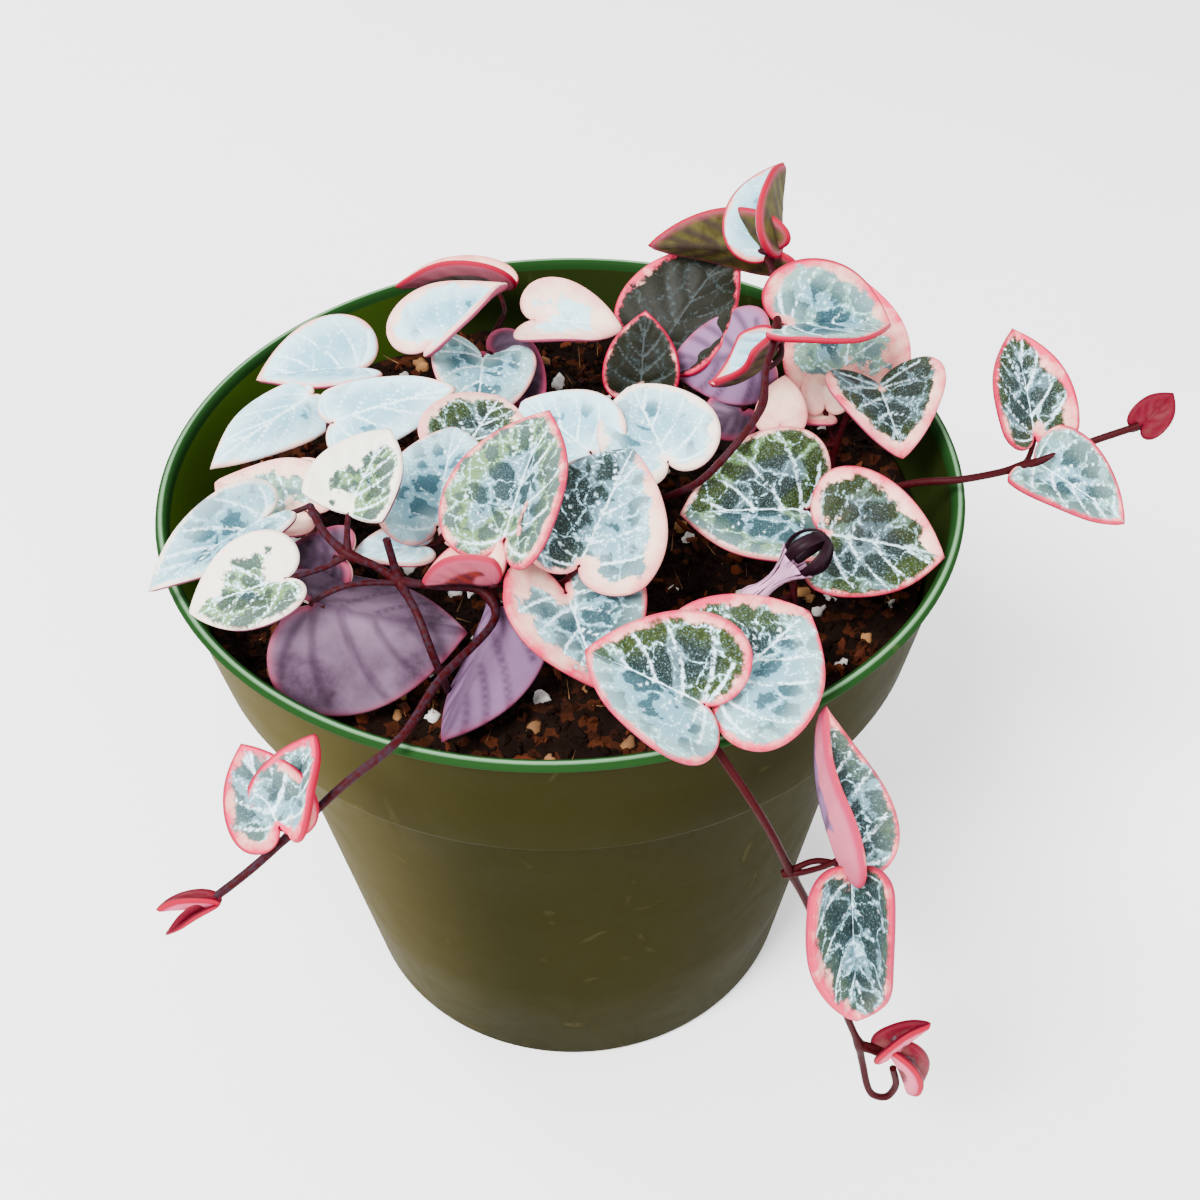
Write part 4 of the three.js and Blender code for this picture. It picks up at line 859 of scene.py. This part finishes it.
# The vines, each with the points its stems run through, its joints, and its leaves.
VINES = [
    # A cut stem whose two side shoots are the left cluster and the runner over the front left rim
    dict(name="left", dust=0.8, runs=[
        [(-15, -34, 76), (-15, -34, 84), (-15, -36.5, 89), (-16, -37.5, 95.5), (-17.8, -34, 99.5),
         (-20, -29, 100), (-21, -28, 106)],
        [(-20, -29, 100), (-23, -28, 102), (-26, -27, 103), (-29, -24, 104), (-31, -20, 105)],
        [(-20, -29, 100), (-15, -29.6, 99.5), (-10, -30.5, 99.3), (-8.5, -33.2, 98), (-15, -44, 98),
         (-19, -52, 97.5), (-25, -56.5, 95.5), (-30, -59, 92), (-36, -62, 88), (-41, -65, 86)],
    ], joints=[(-20, -29, 100), (-26, -27, 103), (-30, -59, 92), (-9.5, -31, 98.8)], leaves=[
        heart((-26, -27, 103), (-25.6, -24.6, 107.3), (-20.6, -15, 112.4), "cream", roll=8, fold=22,
              deep=0.2, pale=0.22, olive=1.4, left=3.2, right=0.6, heel=0, toe=0.3, pink=0.05),
        heart((-26, -27, 103), (-33, -31, 103), (-45, -32, 99), "cream", roll=-28, fold=20, broad=0.95,
              pale=0.22, olive=1.4, left=0.2, heel=0.4, toe=0.3, pink=0.1),
        heart((-31, -20, 105), (-37.3, -18, 101.5), (-51, -27, 98), "silver", roll=-20, fold=30,
              broad=0.66, pink=0.1),
        heart((-31, -20, 105), (-33, -14, 99), (-46, -6, 98), "cream", roll=-10, broad=0.8),
        heart((-31, -20, 105), (-35, -5, 93.8), (-42, 2.8, 92.4), "dark", roll=-10, pink=0.3),
        heart((-26, -27, 103), (-28, -22, 98), (-36, -17, 95), "silver", roll=130, broad=0.8),
        heart((-20, -29, 100), (-30.5, -32, 99.5), (-12, -33.5, 95.5), "silver", roll=-164, fold=35,
              broad=1.28, pink=0.15),
        heart((-10, -30, 101), (-8.2, -31, 97), (-15.6, -44.3, 88), "silver", roll=-168, fold=35, cup=20,
              deep=0.2, broad=0.8, pink=0.15, bloom=0.6),
        heart((-30, -59, 92), (-32, -60, 93), (-36, -53, 99), "red", roll=-9, broad=0.95, pink=0.9),
        heart((-30, -59, 92), (-31, -59, 93), (-28, -52, 99), "red", roll=-5, fold=35),
        heart((-40, -64.5, 86.5), (-40, -65, 86), (-46, -65, 86), "red", roll=20, fold=60, broad=0.6,
              left=4, right=4, red=1.95, under=1.9),
        heart((-40, -64.5, 86.5), (-40, -65, 86), (-45, -67, 84), "red", roll=-20, fold=60, broad=0.5,
              left=4, right=4, red=1.95, under=1.9),
    ]),
    # The stem that hangs over the front right rim
    dict(name="trailer", dust=0.05, runs=[
        [(10, -38, 76), (10, -38, 84), (10, -40, 89), (13, -47, 97), (15, -54, 98), (19, -58, 93),
         (22, -59, 87), (25, -59, 79), (28, -59, 71), (31, -60, 60), (35, -60, 47), (37, -60, 41)],
        [(37, -60, 41), (39, -60.5, 40), (41, -61, 39)],
        [(37, -60, 41), (38, -60, 36), (40, -61, 29), (42, -61, 28), (43, -61, 31), (42, -61, 36)],
    ], joints=[(14, -50, 99), (24, -59, 79), (37, -60, 41)], leaves=[
        heart((14, -50, 99), (14.6, -51.5, 100.5), (1.8, -46.5, 104.8), "marbled", roll=-28, fold=32,
              broad=1.3, right=0.9, lean=-0.5),
        heart((14, -50, 99), (16.3, -50, 100), (27.8, -40, 103), "marbled", roll=18, broad=1.2, pale=0.3,
              left=1.5, right=0.5, pink=0.9, lean=0.4),
        heart((24, -59, 79), (30, -60.5, 83.8), (28, -52, 100.2), "marbled", roll=34, fold=54, arch=-45,
              broad=0.75, pale=0.2, olive=0.3, left=4.4, pink=0.85, bloom=0.6),
        heart((24, -59, 79), (31, -62, 83), (32.3, -70, 64.5), "marbled", roll=20, fold=38, cup=40,
              deep=0.4, broad=0.78, pale=0.15, olive=0.3, right=1.6, pink=1, bloom=0.6),
        heart((37, -60, 41), (41.5, -61, 40), (45, -61.5, 29.5), "red", roll=20, fold=60, broad=0.7,
              left=2.5, right=2.5, red=1.9, under=1.8),
        heart((37, -60, 41), (41.5, -61, 40), (45.5, -61, 47.5), "red", fold=60, broad=0.8,
              left=2.5, right=2.5, red=1.9, under=1.8),
    ]),
    # The stem that runs out over the right rim
    dict(name="right_runner", dust=0.15, runs=[
        [(38, -5, 76), (38, -5, 84), (41, -6, 91), (47, -9, 96), (53, -11, 98), (61, -10, 99),
         (70, -10, 103), (75, -10, 105)],
    ], joints=[(61, -10, 99)], leaves=[
        heart((61, -10, 99), (63.3, -6, 100.5), (62.3, 8, 108.6), "marbled", roll=-5, fold=30, deep=0.6,
              broad=0.75, pale=-0.05, olive=0.3, right=1.5, pink=1, red=0.8),
        heart((61, -10, 99), (63, -9.5, 98.9), (72, -20, 97), "silver", roll=26, fold=25, deep=0.5,
              broad=0.85, pale=0.35, pink=0.9, red=0.8, olive=0.5),
        heart((74, -10, 104.4), (75.7, -9.4, 104.5), (79.7, -7.2, 108), "red", roll=30, fold=30, left=4,
              right=4, red=1.95, under=1.9),
    ]),
    # The short stem in the middle of the front, with the two upright marbled leaves
    dict(name="centre", dust=0.4, runs=[
        [(-1, -20, 76), (-1, -20, 84), (-1, -22, 90), (-2, -26, 97), (-5, -28, 101)],
    ], joints=[(-2, -26, 97), (-5, -28, 101)], leaves=[
        heart((-5, -28, 101), (-7, -29, 106), (-1, -16, 115), "marbled", roll=-5, fold=25, broad=0.95,
              olive=1, left=0.4, right=0.6, fine=1.6),
        heart((-2, -26, 97), (1.6, -31.5, 103.6), (8.9, -16, 108.8), "marbled", roll=18, deep=0.7,
              broad=0.95, olive=0.2, left=0.2, right=1.8, heel=0.5, toe=-1.2, pink=0.45, red=0.1,
              lean=0.4),
        heart((-2, -26, 97), (0, -32, 99.8), (3.3, -44, 95.5), "marbled", roll=-5, fold=15, deep=1.9,
              broad=1.3, pale=0.4, olive=0.3, left=0.4, right=2.2, pink=0.7),
        heart((-5, -28, 101), (-8.2, -32.4, 102.2), (-17.2, -30.6, 101.4), "cream", roll=15, fold=58,
              deep=0.5, broad=1.1, pale=0.9, pink=0.5, red=0.8, under=1.8),
    ]),
    # The stem whose silver leaves stand behind the marbled ones
    dict(name="middle", dust=0.7, runs=[
        [(-12, -8, 76), (-12, -8, 84), (-12, -9, 90), (-14, -14, 96), (-15, -20, 99)],
        [(-12, -9, 90), (-5, -6, 93), (4, -7, 95), (12, -9, 98)],
    ], joints=[(-12, -9, 90), (4, -7, 95), (-15, -20, 99)], leaves=[
        heart((-14, -14, 96), (-16, -18, 99), (-14, -1, 102), "silver", broad=0.9, pale=0.65, olive=0.3),
        heart((-15, -20, 99), (-18.1, -19.5, 97.1), (-27, -20.4, 97.1), "mint", roll=-25, fold=20,
              broad=0.7, red=0.5),
        heart((-5, -6, 93), (-12.9, -3.4, 99.4), (-7.9, 9.6, 99.4), "dark", roll=10, left=1.5, right=1.5,
              pink=0.4, red=0.1),
        heart((4, -7, 95), (4, -5, 100), (-5, 7, 100), "mint", roll=-20, broad=0.9),
        heart((12, -9, 98), (14, -9, 101), (10, 7, 102), "silver", roll=-10, broad=0.95, pale=0.7,
              left=1.2, right=1.2, pink=0.15),
    ]),
    # The stem at the back left, with three pale leaves that lean on the rim
    dict(name="back_left", dust=0.8, runs=[
        [(-28, 4, 76), (-28, 4, 84), (-29, 4, 90), (-32, 6, 96), (-32, 10, 98), (-29, 18, 97)],
    ], joints=[(-32, 6, 96), (-29, 18, 97)], leaves=[
        heart((-32, 6, 96), (-31.2, 4.5, 99.5), (-14, 8, 102), "mint", roll=20, fold=-8, cup=0, deep=0.5,
              broad=0.66),
        heart((-32, 10, 98), (-34.7, 11.5, 99.1), (-47.5, -2, 97.5), "mint", roll=-15, fold=-12, cup=0,
              deep=0.4, broad=0.55),
        heart((-29, 18, 97), (-29, 21, 97), (-44, 19, 97), "mint", roll=-15, fold=30, pink=0.4),
    ]),
    # The stem at the back, with one leaf over the rim and four around it
    dict(name="back", dust=0.5, runs=[
        [(-12, 26, 76), (-12, 26, 84), (-11, 27, 90), (-10, 30, 95), (-8, 34, 97)],
    ], joints=[(-11, 27, 90), (-10, 30, 95)], leaves=[
        heart((-11, 27, 90), (-18, 20, 101), (-7, 32, 104), "mint", roll=-15, fold=25, left=1.4,
              right=1.4, pink=0.35),
        heart((-10, 30, 95), (-3, 26, 101), (10, 23, 101), "mint", roll=22, cup=40, broad=0.9, left=3,
              right=3, pink=0.35),
        heart((-8, 34, 97), (-9, 40, 98), (-25, 41, 99), "cream", roll=25, fold=30, cup=20, broad=0.8,
              pale=0.9, pink=0.5, red=1, under=0.6),
        heart((-11, 27, 90), (-10, 24, 97), (-2, 17, 93), "silver", roll=-150, pink=0.5),
        heart((-11, 27, 90), (-11, 23, 97), (-12, 8, 95), "silver", roll=-13, olive=0.5),
    ]),
    # The tall stem that arches up at the right, with the highest pair of leaves
    dict(name="arch", dust=0.5, runs=[
        [(8, -4, 76), (8, -4, 86), (10, -6, 91), (14, -11, 97), (18, -14, 102), (23, -12, 107),
         (26, -8, 109), (27, -3, 111), (29, 3, 113), (30, 12, 114), (30, 20, 114)],
    ], joints=[(26, -7, 108), (29, 3, 113), (30, 20, 114)], leaves=[
        heart((30, 20, 114), (30, 19.6, 115.1), (14, 30, 110.9), "mint", roll=80, fold=15, broad=0.55,
              red=1, under=1, pink=0.5),
        heart((30, 20, 114), (31.8, 21, 115), (33, 30, 123), "mint", roll=-48, fold=60, broad=1.3, red=1,
              under=1, pink=0.6),
        heart((27, -2, 110), (30, 6, 109.3), (20.3, 3.8, 104.3), "mint", roll=-5, fold=60, arch=-100,
              broad=0.8, red=1, under=0.8, pink=0.5),
        heart((29, 3, 113), (30.7, 5, 112.3), (45, 6, 111), "marbled", roll=30, fold=45, deep=1.2,
              broad=1.2, pale=0.45, olive=0.6, left=1.2, red=1, under=1.6),
    ]),
    # The stem at the back right, with two dark leaves, painted nearly black as painted shade where they
    # lie in shadow, and two that show their undersides
    dict(name="back_right", dust=0.5, runs=[
        [(20, 20, 76), (20, 20, 84), (19, 20, 90), (17, 20, 96)],
    ], joints=[(17, 20, 96)], leaves=[
        heart((17, 20, 96), (16, 22, 99), (27, 31, 110), "dark", roll=10, pale=-1, left=1, pink=1.2,
              red=1),
        heart((17, 20, 96), (12, 14, 97), (13, 20, 106), "dark", pale=-1, left=0.3, right=0.3, red=1),
        heart((20, 20, 88), (27, 12, 94), (20, 9, 93), "silver", roll=134, pink=0.5),
        heart((19, 20, 90), (28, 13, 103), (16, 17, 98), "silver", roll=126, pink=0.3, bloom=0.8),
    ]),
    # The stem by the right rim, with two big cream leaves and three small peach ones
    dict(name="right_rim", dust=0.3, runs=[
        [(40, 8, 76), (40, 8, 84), (40, 8, 90), (42, 8, 97), (44, 9, 100)],
    ], joints=[(40, 8, 90), (42, 8, 97)], leaves=[
        heart((42, 8, 97), (41, 12, 98), (44, 24, 108), "cream", broad=1.1, left=2, right=4.5,
              pink=0.75, toe=3),
        heart((42, 8, 97), (45, 7, 100), (46, -6, 98), "cream", roll=5, fold=25, broad=1.3, pale=-0.4,
              left=1.3, right=1.3, heel=-1.5, pink=0.65, olive=0.3),
        heart((40, 8, 90), (31, 5, 96), (32, 10, 101), "cream", left=5, right=5, pink=0.45),
        heart((40, 8, 90), (38, 9, 96), (38, 15, 100), "cream", left=5, right=5),
        heart((40, 8, 90), (38, 10, 94), (30, 9, 94), "cream", left=5, right=5, pink=0.6),
    ]),
    # The stem at the right front, with two broad dark leaves that lie low
    dict(name="right_front", dust=0.4, runs=[
        [(30, -22, 76), (30, -22, 84), (30, -20, 90), (31, -17, 95)],
    ], joints=[(31, -17, 95)], leaves=[
        heart((31, -17, 95), (31.6, -14.3, 96.5), (15.2, -14.3, 96.5), "marbled", roll=-30, fold=28,
              broad=1.25, pale=0.1, olive=0.9, pink=0.4, lean=-0.5),
        heart((31, -17, 95), (33, -21, 98), (48, -24, 96), "dark", roll=30, deep=0.8, broad=1.1,
              pale=-0.3, left=1.7, right=0.4, heel=-0.3, pink=0.7, lean=0.5),
    ]),
]


def paths_of(ways, thick, dust):
    """Middle lines as a mesh of edges, with the thickness and the bloom of the stem along them."""
    edges = []
    first = 0
    for way in ways:
        edges += [(at, at + 1) for at in range(first, first + len(way) - 1)]
        first += len(way)
    mesh = mesh_of("paths", np.vstack(ways), [], edges)
    note(mesh, "thick", np.concatenate(thick) * MM)
    note(mesh, "dust", np.concatenate(dust))
    return bpy.data.objects.new("paths", mesh)


def vine_paths(vine):
    """The paths of a vine's stems and stalks, which swell and lose their bloom at the joints."""
    ways = [smooth_path(run, PATH_STEP) for run in vine["runs"]]
    ways += [stalk_path(leaf) for leaf in vine["leaves"]]
    radii = [STEM_RADIUS] * len(vine["runs"]) + [STALK_RADIUS] * len(vine["leaves"])
    joints = np.array(vine["joints"], float)
    swells = [np.exp(-(np.linalg.norm(way[:, None] - joints[None], axis=2).min(1) / JOINT_REACH) ** 2)
              for way in ways]
    return paths_of(ways, [radius * (1 + JOINT_SWELL * swell) for radius, swell in zip(radii, swells)],
                    [vine["dust"] * (1 - JOINT_BARE * swell) for swell in swells])


def vine_blades(vine, seed):
    """All leaves of a vine as one mesh, with the values that their materials read."""
    points, faces, skins, values = [], [], [], {}
    for at, leaf in enumerate(vine["leaves"]):
        leaf_points, leaf_faces, leaf_skins, leaf_values = leaf_blade(leaf, seed + at)
        first = sum(len(part) for part in points)
        points.append(leaf_points)
        faces += [tuple(int(first + corner) for corner in face) for face in leaf_faces]
        skins += leaf_skins
        for key, value in leaf_values.items():
            values.setdefault(key, []).append(value)
    mesh = mesh_of("blades", np.vstack(points), faces)
    mesh.polygons.foreach_set("material_index", skins)
    for key, value in values.items():
        note(mesh, key, np.vstack(value))
    smooth(mesh)
    return mesh


leaf_face = variegated_leaf_face()
leaf_underside = mauve_leaf_underside()
stem_skin = bloomy_stem_skin()
sweep = stem_tree()
for number, vine in enumerate(VINES):
    piece = placed("vine_" + vine["name"], vine_blades(vine, 1 + 20 * number))
    piece.data.materials.append(leaf_face)
    piece.data.materials.append(leaf_underside)
    paths = vine_paths(vine)
    with_tree(piece, sweep, {"Paths": paths, "Sides": STEM_SIDES, "Unevenness": 0.1, "Skin": stem_skin})
    settled(piece)
    bpy.data.objects.remove(paths)
    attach(piece, "root")
    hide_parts("stem_" + vine["name"])


# Flower
# One lantern flower: a pale waxy tube, swollen at its foot and flared and fluted at its mouth,
# and five dark strap petals that arch up from the mouth and join at their tips.
FLOWER_FOOT = np.array([22, -30, 95.0])
FLOWER_TIP = np.array([31.5, -29, 104.5])
FLOWER_STALK = [(29, -21.8, 88), (25, -27, 91)]
TUBE = 8.5
PETALS = 5
TUBE_SIDES = 40
TUBE_PROFILE = [  # radius and height, from the swollen foot over the flared mouth and back inside
    (0, -0.5), (0.8, -0.35), (1.35, 0.2), (1.65, 1), (1.5, 1.9), (1.1, 2.8), (0.95, 3.8), (0.95, 4.8),
    (1.1, 5.8), (1.5, 6.9), (2.1, 8), (2.45, 8.6), (2.4, 8.75), (2, 8.2), (1.3, 7.2), (0, 6.5),
]
# A petal's section: shares of its half width across, and how far out of its middle line each corner is.
PETAL_SECTION = [(-1, 0.1), (0, 0.26), (1, 0.1), (1, -0.1), (0, -0.2), (-1, -0.1)]


def waxy_flower_tube():
    # Waxy petal tissue: pale pink, with fine dark purple streaks along the tube.
    material, tree = new_material("waxy_flower_tube")
    turns = node(tree, "ShaderNodeAttribute", attribute_name="turn").outputs["Vector"]
    streaks = node(tree, "ShaderNodeTexNoise", {"Vector": turns, "Scale": 1, "Detail": 3})
    spread = node(tree, "ShaderNodeMapRange", {"Value": streaks, 1: 0.5, 2: 0.62})
    tint = node(tree, "ShaderNodeMix", {0: spread, 6: "#b583a3", 7: "#210a19"}, data_type="RGBA")
    finish_material(tree, tint, 0.5, 0.08)
    return material


def dark_petal():
    # Velvety, nearly black maroon petals with a faint purple bloom.
    material, tree = new_material("dark_petal")
    place = node(tree, "ShaderNodeTexCoord").outputs["Object"]
    bloom = node(tree, "ShaderNodeTexNoise", {"Vector": place, "Scale": 900, "Detail": 3})
    tint = node(tree, "ShaderNodeMix", {0: bloom, 6: "#0a0103", 7: "#1e0a16"}, data_type="RGBA")
    finish_material(tree, tint, 0.45, 0.06)
    return material


def flower_mesh():
    """The tube and the petals, with the turn and height that the tube's streaks follow."""
    axis = FLOWER_TIP - FLOWER_FOOT
    length = np.linalg.norm(axis)
    axis = axis / length
    over = unit(np.cross(axis, [0, 0, 1]))
    beside = np.cross(axis, over)
    tube, faces = turned(TUBE_PROFILE, TUBE_SIDES)
    points = []
    turns = []
    for x, y, z in tube:
        angle = math.atan2(y, x)
        flute = 1 + 0.16 * max(0, (z - 4.5) / 4) * math.cos(PETALS * angle)
        points.append((x * flute, y * flute, z))
        turns.append((angle * 4, 0, z * 0.25))
    skins = [0] * len(faces)
    way = smooth_path([(1.9, 0, TUBE - 0.6), (2.7, 0, TUBE + 1.6), (2.3, 0, length - 1.6),
                       (1.2, 0, length - 0.3), (0.15, 0, length)], 0.35)
    ring = len(PETAL_SECTION)
    for petal in range(PETALS):
        angle = 2 * math.pi * petal / PETALS
        outward = np.array([math.cos(angle), math.sin(angle)])
        aside = np.array([-outward[1], outward[0]])
        first = len(points)
        for at, (radius, _, height) in enumerate(way):
            wide = 0.5 + 0.4 * math.sin(math.pi * at / (len(way) - 1))
            for share, lift in PETAL_SECTION:
                points.append((*(radius + lift) * outward + wide * share * aside, height))
        last = first + (len(way) - 1) * ring
        for low in range(first, last, ring):
            for corner in range(ring):
                after = (corner + 1) % ring
                faces.append((low + corner, low + after, low + ring + after, low + ring + corner))
        faces.append(tuple(range(first, first + ring))[::-1])
        faces.append(tuple(range(last, last + ring)))
    skins += [1] * (len(faces) - len(skins))
    turns += [(0, 0, 0)] * (len(points) - len(turns))
    placed_points = FLOWER_FOOT + np.array(points) @ np.array([over, beside, axis])
    mesh = mesh_of("lantern_flower", placed_points, faces)
    mesh.polygons.foreach_set("material_index", skins)
    note(mesh, "turn", turns)
    smooth(mesh)
    return mesh


flower = placed("lantern_flower", flower_mesh())
flower.data.materials.append(waxy_flower_tube())
flower.data.materials.append(dark_petal())
flower_stalk = smooth_path([*FLOWER_STALK, FLOWER_FOOT + 0.05 * (FLOWER_TIP - FLOWER_FOOT)], STALK_STEP)
stalk_line = paths_of(
    [flower_stalk], [np.full(len(flower_stalk), STEM_RADIUS)], [np.full(len(flower_stalk), 0.3)])
with_tree(flower, sweep, {"Paths": stalk_line, "Sides": STEM_SIDES, "Unevenness": 0.2, "Skin": stem_skin})
settled(flower)
bpy.data.objects.remove(stalk_line)
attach(flower, "root")
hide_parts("flower")
